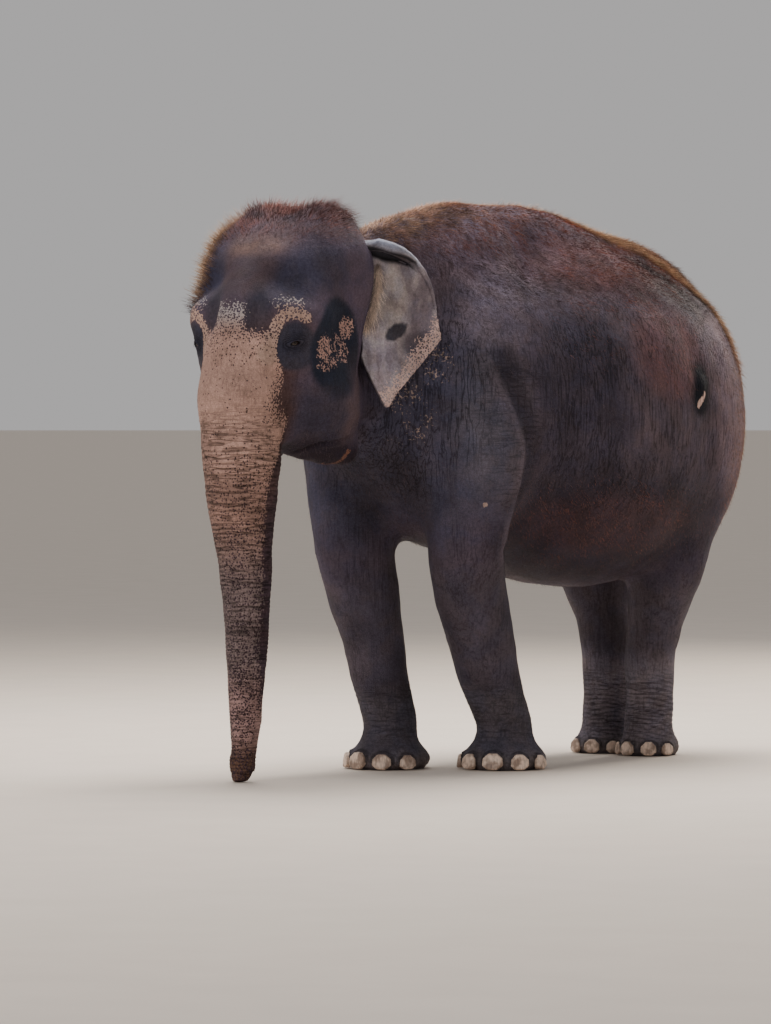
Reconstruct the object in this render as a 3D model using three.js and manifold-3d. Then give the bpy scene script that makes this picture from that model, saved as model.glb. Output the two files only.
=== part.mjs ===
// An adult cow Asian elephant, life size, standing with its head low and the tip of its trunk on the ground.
// Units are millimetres and +Z is up. The animal faces -Y, so its left side is +X, and it stands on z = 0.
//
// The hide is one smooth field: rounded masses of bone and muscle that melt into each other. The broad body
// and the head are wrapped in a net of that field, and the limbs and the trunk are rings of points cast onto
// it. Thin cuts then part the hide into the pieces that a person would name.
import * as THREE from "three";
import { mergeVertices } from "three/addons/utils/BufferGeometryUtils.js";
import Module from "manifold-3d";

const wasm = await Module();
wasm.setup();

// ---------------------------------------------------------------- driving dimensions
const GAP = 0.3; // between pieces that touch
const HEAD_AT = { x: -155, y: -1430 }; // midway between the roots of the ears, seen from above
const HEAD_TURN = 8; // degrees that the head looks to its left of the body's line
const EYE = { at: [212, -392, 1765], radius: 27, lids: 37 };
const EAR = { root: [302, 20], flare: 24, thick: 38, rim: 11, cup: 20, roll: [15, 20, 20, 17, 13, 9, 6] };
const NAIL = { thick: 9, bevel: 0.8, sunk: 26 };
const TUFT_LOCKS = 12;

const BODY_CELL = 90; // edge of the net that wraps the body
const HEAD_CELL = 46; // edge of the net that wraps the head
const TIP_CELL = 16; // edge of the net that wraps the trunk's tip
const LEG_SIDES = 16;
const TRUNK_SIDES = 18;

// ---------------------------------------------------------------- masses of the field
// Each mass is a function of a point that gives its distance outside the mass, negative inside.

// A rounded mass about a centre, with a radius along each axis; lean tips its top backwards, in degrees.
function lump([cx, cy, cz], [rx, ry, rz], lean = 0) {
  const c = Math.cos(THREE.MathUtils.degToRad(lean));
  const s = Math.sin(THREE.MathUtils.degToRad(lean));
  return (px, py, pz) => {
    const x = px - cx;
    const dy = py - cy;
    const dz = pz - cz;
    const y = c * dy - s * dz;
    const z = s * dy + c * dz;
    const k0 = Math.hypot(x / rx, y / ry, z / rz);
    const k1 = Math.hypot(x / rx ** 2, y / ry ** 2, z / rz ** 2);
    return k1 === 0 ? -Math.min(rx, ry, rz) : (k0 * (k0 - 1)) / k1;
  };
}

// A cone with round ends, from centre a with radius ra to centre b with radius rb.
function bone([ax, ay, az, ra], [bx, by, bz, rb]) {
  const [ux, uy, uz] = [bx - ax, by - ay, bz - az];
  const l2 = ux * ux + uy * uy + uz * uz;
  const rr = ra - rb;
  const a2 = l2 - rr * rr;
  return (x, y, z) => {
    const [px, py, pz] = [x - ax, y - ay, z - az];
    const along = px * ux + py * uy + pz * uz;
    const past = along - l2;
    const x2 = (px * l2 - ux * along) ** 2 + (py * l2 - uy * along) ** 2 + (pz * l2 - uz * along) ** 2;
    const k = Math.sign(rr) * rr * rr * x2;
    if (Math.sign(past) * a2 * past * past * l2 > k) return Math.sqrt(x2 + past * past * l2) / l2 - rb;
    if (Math.sign(along) * a2 * along * along * l2 < k) return Math.sqrt(x2 + along * along * l2) / l2 - ra;
    return (Math.sqrt((x2 * a2) / l2) + along * rr) / l2 - ra;
  };
}

// Two distances joined with a soft fillet of width k.
function softMin(a, b, k) {
  const h = Math.max(k - Math.abs(a - b), 0) / k;
  return Math.min(a, b) - (h * h * k) / 4;
}

// Masses that melt into each other over a width k.
function melt(k, ...masses) {
  return (x, y, z) => {
    let d = masses[0](x, y, z);
    for (let i = 1; i < masses.length; i++) d = softMin(d, masses[i](x, y, z), k);
    return d;
  };
}

// Stations [x, y, z, radius] with more of them filled in along a smooth curve.
function smoothed(stations, steps) {
  const curve = (v) => new THREE.CatmullRomCurve3(stations.map(v), false, "centripetal");
  const line = curve(([x, y, z]) => new THREE.Vector3(x, y, z));
  const fine = [];
  for (let i = 0; i < stations.length - 1; i++)
    for (let k = 0; k < steps; k++) {
      const share = k / steps;
      const ease = share * share * (3 - 2 * share);
      const p = line.getPoint((i + share) / (stations.length - 1));
      fine.push([p.x, p.y, p.z, stations[i][3] + ease * (stations[i + 1][3] - stations[i][3])]);
    }
  fine.push(stations.at(-1));
  return fine;
}

// A chain of bones through stations [x, y, z, radius], rounded off between them.
function limb(stations, steps = 3) {
  const fine = smoothed(stations, steps);
  const bones = fine.slice(1).map((b, i) => bone(fine[i], b));
  return (x, y, z) => Math.min(...bones.map((d) => d(x, y, z)));
}

// A mass with a hollow pressed softly into it.
function pressed(k, mass, hollow) {
  return (x, y, z) => -softMin(-mass(x, y, z), hollow(x, y, z), k);
}

// A mass on the left side together with its mirror image on the right.
const paired = (mass) => (x, y, z) => mass(Math.abs(x), y, z);

// ---------------------------------------------------------------- trunk of the body, neck and legs
// Stations of each leg run from the shoulder or hip down to the foot: [x, y, z, radius].
const LEGS = {
  foreleg_left: {
    stations: [
      [300, -770, 1330, 180], [228, -785, 1000, 170], [208, -754, 797, 157], [205, -695, 634, 146],
      [208, -655, 508, 138], [210, -612, 383, 128], [212, -545, 258, 117], [212, -505, 190, 114],
    ],
    foot: { at: [211, -512], width: 182, length: 189, high: 80 },
    nails: { count: 5, spread: 36, width: 84, height: 68, facing: 22 },
  },
  foreleg_right: {
    stations: [
      [-385, -830, 1330, 180], [-315, -875, 1060, 172], [-288, -868, 850, 162], [-268, -846, 709, 152],
      [-255, -823, 600, 136], [-240, -808, 502, 126], [-220, -805, 378, 121], [-205, -785, 284, 117],
      [-192, -768, 190, 114],
    ],
    foot: { at: [-187, -782], width: 176, length: 185, high: 80 },
    nails: { count: 5, spread: 36, width: 84, height: 68, facing: -8 },
  },
  hindleg_left: {
    stations: [
      [235, 690, 1250, 210], [252, 655, 1001, 178], [240, 640, 849, 157], [207, 632, 719, 137],
      [180, 628, 597, 113], [150, 628, 423, 100], [137, 645, 250, 104], [128, 650, 148, 107],
    ],
    foot: { at: [124, 664], width: 127, length: 153, high: 78 },
    nails: { count: 4, spread: 38, width: 70, height: 60, facing: 14 },
  },
  hindleg_right: {
    stations: [
      [-235, 710, 1250, 210], [-245, 712, 1001, 178], [-226, 715, 849, 158], [-197, 722, 735, 141],
      [-172, 728, 610, 112], [-150, 726, 423, 100], [-146, 724, 250, 103], [-143, 712, 148, 107],
    ],
    foot: { at: [-142, 700], width: 127, length: 153, high: 78 },
    nails: { count: 4, spread: 38, width: 70, height: 60, facing: -6 },
  },
};

function legField({ stations, foot: { at: [x, y], width, length, high } }) {
  const pad = lump([x, y, high / 2], [width, length, high]);
  const pastern = lump([x, y, high * 1.3], [width * 0.66, length * 0.68, high]);
  return melt(40, limb(stations), pad, pastern);
}

function bodyField() {
  const spine = limb([
    [-70, -950, 2118, 155], [-30, -540, 2205, 158], [0, -250, 2222, 158], [0, 30, 2200, 158],
    [0, 370, 2132, 158], [0, 640, 2060, 156], [0, 870, 1990, 150], [0, 1010, 1865, 132],
  ]);
  const nape = limb([[-150, -1330, 1930, 235], [-90, -980, 1990, 235], [-40, -600, 2060, 270]]);
  const throat = limb([[-150, -1300, 1590, 195], [-85, -960, 1500, 265]]);
  const barrel = melt(
    220,
    lump([0, 120, 1540], [600, 960, 715]), // ribs
    lump([0, 230, 1290], [520, 780, 515]), // belly
    lump([-45, -620, 1520], [420, 480, 590]), // chest
    lump([0, 640, 1540], [445, 460, 560]), // rump
  );
  const shoulders = melt(
    80,
    lump([262, -660, 1560], [180, 235, 490], 8),
    lump([-350, -690, 1560], [180, 235, 490], 8),
  );
  const haunches = melt(
    80,
    lump([265, 680, 1400], [222, 310, 500]),
    lump([-265, 700, 1400], [222, 310, 500]),
  );
  return melt(140, barrel, spine, melt(160, nape, throat), shoulders, haunches);
}

// ---------------------------------------------------------------- head
// The head is described about the middle of its ear roots, looking along -Y, and then turned to its left.
const toBody = new THREE.Matrix4()
  .makeRotationZ(THREE.MathUtils.degToRad(HEAD_TURN))
  .setPosition(HEAD_AT.x, HEAD_AT.y, 0);
const toHead = toBody.clone().invert();

function seenThrough({ elements: e }, field) {
  return (x, y, z) => field(e[0] * x + e[4] * y + e[12], e[1] * x + e[5] * y + e[13], z);
}

function skullField() {
  const crown = paired(lump([128, -10, 2180], [156, 172, 160]));
  const cranium = lump([0, -30, 2000], [280, 255, 285]);
  const forehead = lump([0, -165, 2020], [275, 222, 245], 22);
  const temporal = paired(limb([[226, -285, 1985, 64], [212, -140, 2150, 84]]));
  const brow = paired(limb([
    [110, -425, 1925, 52], [200, -395, 1884, 54], [248, -350, 1868, 52], [270, -250, 1872, 42],
  ]));
  const face = lump([0, -280, 1710], [232, 210, 290]);
  const nose = limb([[0, -380, 1975, 95], [0, -422, 1850, 122], [4, -450, 1700, 155], [8, -466, 1540, 163]]);
  const temple = paired(lump([250, -190, 1735], [62, 150, 185]));
  const cheek = paired(lump([188, -90, 1530], [120, 190, 212]));
  const earRoot = paired(limb([
    [276, 20, 2110, 56], [292, 5, 2030, 62], [258, 0, 1890, 52], [236, -20, 1760, 56],
  ]));
  const lip = paired(lump([118, -290, 1490], [78, 120, 140]));
  const orbit = paired(lump([199, -382, 1765], [44, 44, 44]));
  const bone = melt(100, melt(70, crown, cranium), forehead, temporal, face, temple, cheek, earRoot, lip);
  return melt(70, bone, nose, brow, orbit);
}

function jawField() {
  return paired(limb([[165, 25, 1354, 92], [120, -130, 1374, 82], [18, -250, 1392, 62]]));
}

// The trunk hangs from the face, flatter behind than in front: [x, y, z, radius].
const TRUNK = [
  [-78, -1890, 1540, 165], [-60, -1905, 1340, 165], [-44, -1925, 1176, 147], [-36, -1925, 1015, 126],
  [-34, -1917, 895, 112], [-42, -1898, 734, 100], [-52, -1882, 533, 86], [-70, -1862, 330, 74],
  [-88, -1852, 169, 61], [-97, -1850, 80, 52], [-99, -1849, 52, 44],
];
const TRUNK_FLAT = 0.74; // how far the flat of its rear stands behind its middle, of its radius

function trunkField() {
  const round = limb(TRUNK);
  const rear = limb(TRUNK.map(([x, y, z, r]) => [x, y + r * (1 + TRUNK_FLAT), z, r]));
  return pressed(50, round, rear);
}

// ---------------------------------------------------------------- ears
// Edges of the ear behind its root, from the top down: [height, front edge, rear edge].
const EAR_EDGES = [
  [2170, -30, 105], [2145, -40, 190], [2110, -45, 250], [2060, -45, 296], [1990, -45, 334], [1910, -45, 362],
  [1840, -40, 384], [1785, -35, 396], [1735, -25, 350], [1680, 0, 290], [1620, 35, 224], [1560, 72, 164],
  [1508, 104, 126],
];

function earLeft() {
  const flare = THREE.MathUtils.degToRad(EAR.flare);
  const back = [Math.sin(flare), Math.cos(flare)];
  const out = [Math.cos(flare), -Math.sin(flare)];
  const spot = (behind, off, z) => [
    EAR.root[0] + behind * back[0] + off * out[0],
    EAR.root[1] + behind * back[1] + off * out[1],
    z,
  ];
  const across = [0, 0.12, 0.3, 0.5, 0.7, 0.88, 1];
  const rings = EAR_EDGES.map(([z, front, rear], level) => {
    const tall = Math.sin((Math.PI * (level + 0.5)) / EAR_EDGES.length);
    const face = (side) => (share) => {
      const behind = front + share * (rear - front);
      const hollow = EAR.cup * tall * Math.sin(Math.PI * share);
      const thick = EAR.rim + (EAR.thick - EAR.rim) * (1 - share) ** 2;
      return spot(behind, side * 0.5 * thick * Math.sin(Math.PI * (0.12 + 0.76 * share)) - hollow, z);
    };
    return [...across.map(face(1)), ...across.toReversed().map(face(-1))];
  });
  const fold = EAR_EDGES.slice(0, 6).map(([z, , rear], i) => [...spot(rear - 10, 8, z), EAR.roll[i + 1]]);
  const roll = tube(smoothed([[...spot(-25, 8, 2178), EAR.roll[0]], ...fold], 2), 8);
  const canal = ball(spot(22, 18, 1940), [16, 26, 62], [0, 0, -EAR.flare], 10);
  return loft(rings).add(roll).subtract(canal);
}

// ---------------------------------------------------------------- wrapping a field
// How many separate groups the marked corners of a cube form, one bit for each corner.
function groups(mask) {
  let count = 0;
  for (let left = mask; left; count++) {
    let group = left & -left;
    for (let grown = 0; grown !== group; ) {
      grown = group;
      for (let c = 0; c < 8; c++)
        if (group & (1 << c)) for (const step of [1, 2, 4]) group |= left & (1 << (c ^ step));
    }
    left &= ~group;
  }
  return count;
}

// Fills corners of the grid until the surface crosses no cell in more than one sheet.
function mend(value, n, cell) {
  const at = [0, 1, 2, 3, 4, 5, 6, 7].map((c) => (c & 1) + ((c >> 1) & 1) * n[0] + (c >> 2) * n[0] * n[1]);
  for (let changed = true; changed; ) {
    changed = false;
    for (let k = 1; k < n[2] - 2; k++)
      for (let j = 1; j < n[1] - 2; j++)
        for (let i = 1; i < n[0] - 2; i++) {
          const first = (k * n[1] + j) * n[0] + i;
          const mask = at.reduce((m, o, c) => m | (value[first + o] < 0 ? 1 << c : 0), 0);
          if (groups(mask) < 2 && groups(255 ^ mask) < 2) continue;
          const outside = at.filter((o) => value[first + o] >= 0);
          const nearest = outside.sort((a, b) => value[first + a] - value[first + b])[0];
          value[first + nearest] = -0.1 * cell;
          changed = true;
        }
  }
}

// A net over the field's surface inside a box: one knot in each cell that the surface crosses, pulled onto
// the surface, and one patch round each edge of the grid that it crosses. The box's own faces close it.
function wrap(field, low, high, cell) {
  const n = [0, 1, 2].map((i) => Math.ceil((high[i] - low[i]) / cell) + 1);
  const index = (i, j, k) => (k * n[1] + j) * n[0] + i;
  const corner = (i, j, k) => [low[0] + i * cell, low[1] + j * cell, low[2] + k * cell];
  const value = new Float64Array(n[0] * n[1] * n[2]);
  for (let k = 0; k < n[2]; k++)
    for (let j = 0; j < n[1]; j++)
      for (let i = 0; i < n[0]; i++) {
        const border = !i || !j || !k || i === n[0] - 1 || j === n[1] - 1 || k === n[2] - 1;
        const d = field(...corner(i, j, k));
        value[index(i, j, k)] = border ? Math.max(d, cell / 2) : d;
      }

  mend(value, n, cell);

  const knots = [];
  const knotAt = new Int32Array(value.length).fill(-1);
  const steps = [[1, 0, 0], [0, 1, 0], [0, 0, 1]];
  for (let k = 0; k < n[2] - 1; k++)
    for (let j = 0; j < n[1] - 1; j++)
      for (let i = 0; i < n[0] - 1; i++) {
        const sum = [0, 0, 0];
        let crossings = 0;
        for (let axis = 0; axis < 3; axis++)
          for (const b of [0, 1])
            for (const c of [0, 1]) {
              const from = [i, j, k];
              from[(axis + 1) % 3] += b;
              from[(axis + 2) % 3] += c;
              const to = from.map((v, q) => v + steps[axis][q]);
              const va = value[index(...from)];
              const vb = value[index(...to)];
              if (va < 0 === vb < 0) continue;
              const share = va / (va - vb);
              const p = corner(...from);
              p[axis] += share * cell;
              for (let q = 0; q < 3; q++) sum[q] += p[q];
              crossings++;
            }
        if (!crossings) continue;
        knotAt[index(i, j, k)] = knots.length / 3;
        const knot = sum.map((v) => v / crossings);
        knots.push(...pulled(field, knot, low, high, cell));
      }

  const faces = [];
  for (let k = 0; k < n[2] - 1; k++)
    for (let j = 0; j < n[1] - 1; j++)
      for (let i = 0; i < n[0] - 1; i++)
        for (let axis = 0; axis < 3; axis++) {
          const va = value[index(i, j, k)];
          const vb = value[index(i + steps[axis][0], j + steps[axis][1], k + steps[axis][2])];
          if (va < 0 === vb < 0) continue;
          const u = steps[(axis + 1) % 3];
          const v = steps[(axis + 2) % 3];
          const cellAt = (p, q) => knotAt[index(...[i, j, k].map((w, m) => w - p * u[m] - q * v[m]))];
          const ring = [cellAt(0, 0), cellAt(1, 0), cellAt(1, 1), cellAt(0, 1)];
          if (va >= 0) ring.reverse();
          const apart = (a, b) =>
            Math.hypot(...[0, 1, 2].map((q) => knots[3 * ring[a] + q] - knots[3 * ring[b] + q]));
          const [a, b, c, d] = apart(0, 2) <= apart(1, 3) ? ring : [ring[1], ring[2], ring[3], ring[0]];
          faces.push(a, b, c, a, c, d);
        }
  return solidOf(knots, faces);
}

// A point moved along the field's slope until it lies on the surface, by at most half a cell.
function pulled(field, start, low, high, cell) {
  const inside = start.every((v, q) => v > low[q] + 1.5 * cell && v < high[q] - 1.5 * cell);
  if (!inside) return start;
  const p = [...start];
  const e = 1;
  for (let round = 0; round < 3; round++) {
    const d = field(...p);
    const slope = [0, 1, 2].map((q) => {
      const a = [...p];
      const b = [...p];
      a[q] += e;
      b[q] -= e;
      return (field(...a) - field(...b)) / (2 * e);
    });
    const steep = Math.max(slope.reduce((t, v) => t + v * v, 0), 0.05);
    for (let q = 0; q < 3; q++) p[q] -= (d * slope[q]) / steep;
  }
  return p.map((v, q) => THREE.MathUtils.clamp(v, start[q] - cell / 2, start[q] + cell / 2));
}

// ---------------------------------------------------------------- rings
// A closed skin over rings of equal count, flat at both ends. The rings run from the top down.
function loft(rings) {
  const sides = rings[0].length;
  const points = rings.flat(2);
  const faces = [];
  for (let r = 0; r < rings.length - 1; r++)
    for (let s = 0; s < sides; s++) {
      const [a, b] = [r * sides + s, r * sides + ((s + 1) % sides)];
      faces.push(a, a + sides, b, b, a + sides, b + sides);
    }
  const middle = (ring) => [0, 1, 2].map((q) => ring.reduce((t, p) => t + p[q], 0) / sides);
  const ends = [[rings[0], 0, false], [rings.at(-1), (rings.length - 1) * sides, true]];
  for (const [ring, first, flip] of ends) {
    points.push(...middle(ring));
    const hub = points.length / 3 - 1;
    for (let s = 0; s < sides; s++) {
      const [a, b] = [first + s, first + ((s + 1) % sides)];
      faces.push(hub, flip ? b : a, flip ? a : b);
    }
  }
  return solidOf(points, faces);
}

// The point of the field's surface that lies level from [x, y, z] in the direction of an angle.
function ringPoint(field, [x, y], turn, z, reach) {
  const [cx, cy] = [Math.cos(turn), Math.sin(turn)];
  let [near, far] = [0, reach];
  for (let round = 0; round < 24; round++) {
    const mid = (near + far) / 2;
    if (field(x + mid * cx, y + mid * cy, z) < 0) near = mid;
    else far = mid;
  }
  return [x + near * cx, y + near * cy];
}

// A level ring of such points round [x, y] at height z.
const ringOn = (field, at, z, sides, reach) =>
  Array.from({ length: sides }, (_, s) => [...ringPoint(field, at, (2 * Math.PI * s) / sides, z, reach), z]);

// Where a limb's line stands at height z, from its stations.
function lineAt(stations, z) {
  const below = stations.findIndex((s) => s[2] <= z);
  if (below <= 0) return stations.at(below < 0 ? -1 : 0).slice(0, 2);
  const [a, b] = [stations[below - 1], stations[below]];
  const share = (a[2] - z) / (a[2] - b[2]);
  return [a[0] + share * (b[0] - a[0]), a[1] + share * (b[1] - a[1])];
}

// A closed round tube through stations [x, y, z, radius], flat at both ends.
function tube(stations, sides) {
  const at = stations.map(([x, y, z]) => new THREE.Vector3(x, y, z));
  const axis = new THREE.Vector3();
  const right = new THREE.Vector3(1, 0, 0);
  const up = new THREE.Vector3();
  const rings = at.map((centre, i) => {
    axis.copy(at[Math.min(i + 1, at.length - 1)]).sub(at[Math.max(i - 1, 0)]).normalize();
    up.crossVectors(right, axis).normalize();
    right.crossVectors(axis, up).normalize();
    return Array.from({ length: sides }, (_, s) => {
      const turn = (2 * Math.PI * s) / sides;
      return centre.clone()
        .addScaledVector(right, stations[i][3] * Math.cos(turn))
        .addScaledVector(up, stations[i][3] * Math.sin(turn))
        .toArray();
    });
  });
  return loft(rings);
}

// Heights from top to bottom in even steps.
const levels = (top, bottom, steps) =>
  Array.from({ length: steps + 1 }, (_, i) => top + ((bottom - top) * i) / steps);

// ---------------------------------------------------------------- solids
function solidOf(points, faces) {
  return new wasm.Manifold(
    new wasm.Mesh({ numProp: 3, vertProperties: new Float32Array(points), triVerts: new Uint32Array(faces) }),
  );
}

// A three.js geometry as a solid.
function solidFrom(geometry) {
  const bare = geometry.index ? geometry.toNonIndexed() : geometry.clone();
  for (const name of Object.keys(bare.attributes)) if (name !== "position") bare.deleteAttribute(name);
  const merged = mergeVertices(bare, 1e-3);
  return solidOf(merged.attributes.position.array, merged.index.array);
}

const largest = (solid) => solid.decompose().sort((a, b) => b.volume() - a.volume())[0];

// The part of a solid beyond a plane through a point, on the side that the normal points to, half a gap off.
function beyond(solid, point, normal) {
  const n = new THREE.Vector3(...normal).normalize();
  return solid.trimByPlane(n.toArray(), n.dot(new THREE.Vector3(...point)) + GAP / 2);
}

// The part of a solid on the near side of such a plane.
const before = (solid, point, normal) => beyond(solid, point, normal.map((v) => -v));

// A solid with a gap cut away beside a neighbour, which lies on the other side of it from `away`.
const clearOf = (solid, neighbour, away) => solid.subtract(neighbour.translate(away.map((v) => v * GAP)));

// A smooth ball squashed to a radius along each axis and turned, in degrees.
function ball([x, y, z], [rx, ry, rz], [tx, ty, tz] = [0, 0, 0], sides = 12) {
  const turn = new THREE.Euler(...[tx, ty, tz].map(THREE.MathUtils.degToRad), "ZYX");
  const place = new THREE.Matrix4().compose(
    new THREE.Vector3(x, y, z),
    new THREE.Quaternion().setFromEuler(turn),
    new THREE.Vector3(rx, ry, rz),
  );
  return solidFrom(new THREE.SphereGeometry(1, sides, Math.round(sides * 0.6)).applyMatrix4(place));
}

// ---------------------------------------------------------------- materials
const finish = (color, roughness) => new THREE.MeshStandardMaterial({ color, roughness, metalness: 0 });
const HIDE = finish("#4b3f3c", 0.85);
const FACE_HIDE = finish("#5a4a45", 0.85);
const PALE_HIDE = finish("#a58578", 0.8);
const EAR_HIDE = finish("#7c6f68", 0.8);
const HORN = finish("#a08c74", 0.5);
const GLOSS = finish("#2a1a10", 0.1);
const HAIR = finish("#2a211e", 0.6);

const elephant = new THREE.Group();

function add(name, solid, material) {
  const mesh = largest(solid).getMesh();
  const geometry = new THREE.BufferGeometry();
  geometry.setAttribute("position", new THREE.BufferAttribute(mesh.vertProperties, mesh.numProp));
  geometry.setIndex(new THREE.BufferAttribute(mesh.triVerts, 1));
  geometry.computeVertexNormals();
  const node = new THREE.Mesh(geometry, material);
  node.name = name;
  elephant.add(node);
}

// ---------------------------------------------------------------- fields of the whole animal
const trunk = trunkField();
const head = seenThrough(toHead, melt(40, skullField(), jawField()));
const barrel = bodyField();
const hide = melt(70, barrel, ...Object.values(LEGS).map(legField), head);
const faceInHead = seenThrough(toBody, melt(50, hide, trunk));

// ---------------------------------------------------------------- body and neck
const NECK_CUT = [[-60, -980, 1800], [0.1, -1, 0.243]]; // towards the head
const HEAD_CUT = [[0, 125, 1800], [0, -1, -0.06]]; // the same in the head's own frame
const FORE_CUT = [[0, -800, 985], [0, -0.38, -1]]; // towards the feet
const HIND_CUT = [[0, 700, 930], [0, 0.38, -1]];
const KNEE = 700; // where the lower legs begin
const ANKLE = 190; // where the feet begin

const inBody = ([at, normal]) => [
  new THREE.Vector3(...at).applyMatrix4(toBody).toArray(),
  new THREE.Vector3(...normal).transformDirection(toBody).toArray(),
];

const wrapped = wrap(hide, [-900, -1640, 400], [900, 1400, 2560], BODY_CELL);
const rearward = before(wrapped, ...NECK_CUT);
const torso = before(before(rearward, ...FORE_CUT), ...HIND_CUT);
add("torso", torso, HIDE);
add("neck", before(beyond(wrapped, ...NECK_CUT), ...inBody(HEAD_CUT)), HIDE);

// ---------------------------------------------------------------- legs
// A nail is a plate that stands out of the front of the foot, arched above and flat below.
function nail(field, foot, at, turn, width, height) {
  const out = [Math.cos(turn), Math.sin(turn)];
  const reach = Math.hypot(...ringPoint(field, at, turn, height * 0.62, 260).map((v, q) => v - at[q]));
  const ring = (stand, size) => Array.from({ length: 8 }, (_, i) => {
    const angle = (2 * Math.PI * (i + 0.5)) / 8;
    const side = 0.5 * width * size * Math.cos(angle);
    const up = height * (0.62 + 0.5 * size * Math.max(Math.sin(angle), -0.85));
    const off = reach + stand - 0.12 * (up - height * 0.62);
    return [at[0] + off * out[0] - side * out[1], at[1] + off * out[1] + side * out[0], up];
  });
  const plate = loft([ring(NAIL.thick, NAIL.bevel), ring(NAIL.thick * 0.5, 1), ring(-NAIL.sunk, 1)]);
  return clearOf(plate, foot, [...out, 0]);
}

for (const [name, leg] of Object.entries(LEGS)) {
  const { stations, foot, nails } = leg;
  const field = melt(70, barrel, legField(leg));
  const top = name.startsWith("fore") ? FORE_CUT : HIND_CUT;
  const side = name.endsWith("left") ? 1 : -1;
  const middle = lineAt(stations, KNEE);
  let upper = beyond(beyond(rearward, ...top), [0, 0, KNEE], [0, 0, 1]);
  upper = beyond(upper, [-30, 0, 0], [side, 0, 0]);
  upper = beyond(upper, [0, middle[1] - 420, 0], [0, 1, 0]);
  upper = beyond(upper, [0, middle[1] + 420, 0], [0, -1, 0]);
  add(`${name}_upper`, upper, HIDE);

  const rings = (from, to, steps) =>
    loft(levels(from, to, steps).map((z) => ringOn(field, lineAt(stations, z), z, LEG_SIDES, 260)));
  add(`${name}_lower`, rings(KNEE - GAP, ANKLE + GAP, 8), HIDE);
  const sole = rings(ANKLE, 0, 7);
  add(`${name}_foot`, sole, HIDE);

  for (let i = 0; i < nails.count; i++) {
    const aside = (i - (nails.count - 1) / 2) * nails.spread;
    const turn = THREE.MathUtils.degToRad(-90 + nails.facing + aside);
    const small = 1 - 0.0022 * Math.abs(aside);
    const plate = nail(field, sole, foot.at, turn, nails.width * small, nails.height * small);
    add(`${name}_nail_${i + 1}`, plate, HORN);
  }
}

// ---------------------------------------------------------------- head, jaw, eyes and ears
const TRUNK_CUT = 1340; // where the free trunk begins
const TIP_TOP = 120; // where its last length begins
// The lower jaw lies under a roof of two slopes, with the line of the mouth along its eaves.
const MOUTH_AT = [250, -130, 1318];
const MOUTH_SLOPE = [0.45, 0.05, 1];
const CHIN_FRONT = -328;
const CHIN_REAR = 20;

const place = (solid) => solid.transform(toBody.elements);
const both = (solid) => solid.add(solid.mirror([1, 0, 0]));

const headNet = wrap(faceInHead, [-520, -760, 1120], [520, 300, 2500], HEAD_CELL);
const block = (low, high) => solidFrom(
  new THREE.BoxGeometry(...high.map((v, q) => v - low[q])).translate(...high.map((v, q) => (v + low[q]) / 2)),
);
const hanging = block([-400, -900, 1000], [400, CHIN_FRONT + 8, TRUNK_CUT + GAP / 2]);
let skull = beyond(headNet, ...HEAD_CUT).subtract(hanging);

const lid = ball(EYE.at, [EYE.lids, EYE.lids, EYE.lids], [0, 0, 0], 14);
const slit = ball([EYE.at[0] + 25, EYE.at[1] - 17, EYE.at[2] - 3], [26, 25, 13], [18, 0, -35]);
const pocket = ball(EYE.at, Array(3).fill(EYE.radius + GAP), [0, 0, 0], 14);
skull = skull.add(both(lid)).subtract(both(slit)).subtract(both(pocket));

const mirrored = ([x, y, z]) => [-x, y, z];
function chinUnder(gap) {
  const [x, y, z] = MOUTH_AT;
  let chin = block([-400, CHIN_FRONT + gap, 1000], [400, CHIN_REAR - gap, 1600]);
  chin = before(chin, [x, y, z - gap], MOUTH_SLOPE);
  return before(chin, [-x, y, z - gap], mirrored(MOUTH_SLOPE));
}

const headSolid = skull.subtract(chinUnder(0));
add("head", place(headSolid), FACE_HIDE);
add("lower_jaw", place(skull.intersect(chinUnder(GAP))), FACE_HIDE);

const eye = ball(EYE.at, Array(3).fill(EYE.radius), [0, 0, 0], 14);
add("eye_left", place(eye), GLOSS);
add("eye_right", place(eye.mirror([1, 0, 0])), GLOSS);

const ear = earLeft();
add("ear_left", place(clearOf(ear, headSolid, [1, 0, 0])), EAR_HIDE);
add("ear_right", place(clearOf(ear.mirror([1, 0, 0]), headSolid, [-1, 0, 0])), EAR_HIDE);

// ---------------------------------------------------------------- trunk
const trunkRings = (from, to, steps) =>
  loft(levels(from, to, steps).map((z) => ringOn(trunk, lineAt(TRUNK, z), z, TRUNK_SIDES, 300)));
add("trunk_upper", trunkRings(TRUNK_CUT - GAP / 2, 860 + GAP, 9), PALE_HIDE);
add("trunk_middle", trunkRings(860, 430 + GAP, 8), PALE_HIDE);
add("trunk_lower", trunkRings(430, TIP_TOP + GAP / 2, 6), PALE_HIDE);

// The tip ends in a rim round two nostrils, and its finger in front reaches down to the ground.
function tipField() {
  const [x, y] = lineAt(TRUNK, 70);
  const rim = lump([x, y + 2, 50], [51, 47, 22]);
  const finger = limb([[x, y - 24, 70, 34], [x, y - 34, 36, 24], [x, y - 30, 12, 18], [x, y - 22, -6, 14]]);
  const nostrils = melt(6, ...[-1, 1].map((side) =>
    limb([[x + side * 19, y + 24, 20, 15], [x + side * 18, y + 10, 62, 12], [x + side * 16, y, 92, 6]], 1)));
  return pressed(8, melt(22, trunk, rim, finger), nostrils);
}
const tip = wrap(tipField(), [-175, -1935, -30], [-20, -1775, 165], TIP_CELL);
add("trunk_tip", before(tip, [0, 0, TIP_TOP], [0, 0, 1]).trimByPlane([0, 0, 1], 0), PALE_HIDE);

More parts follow.
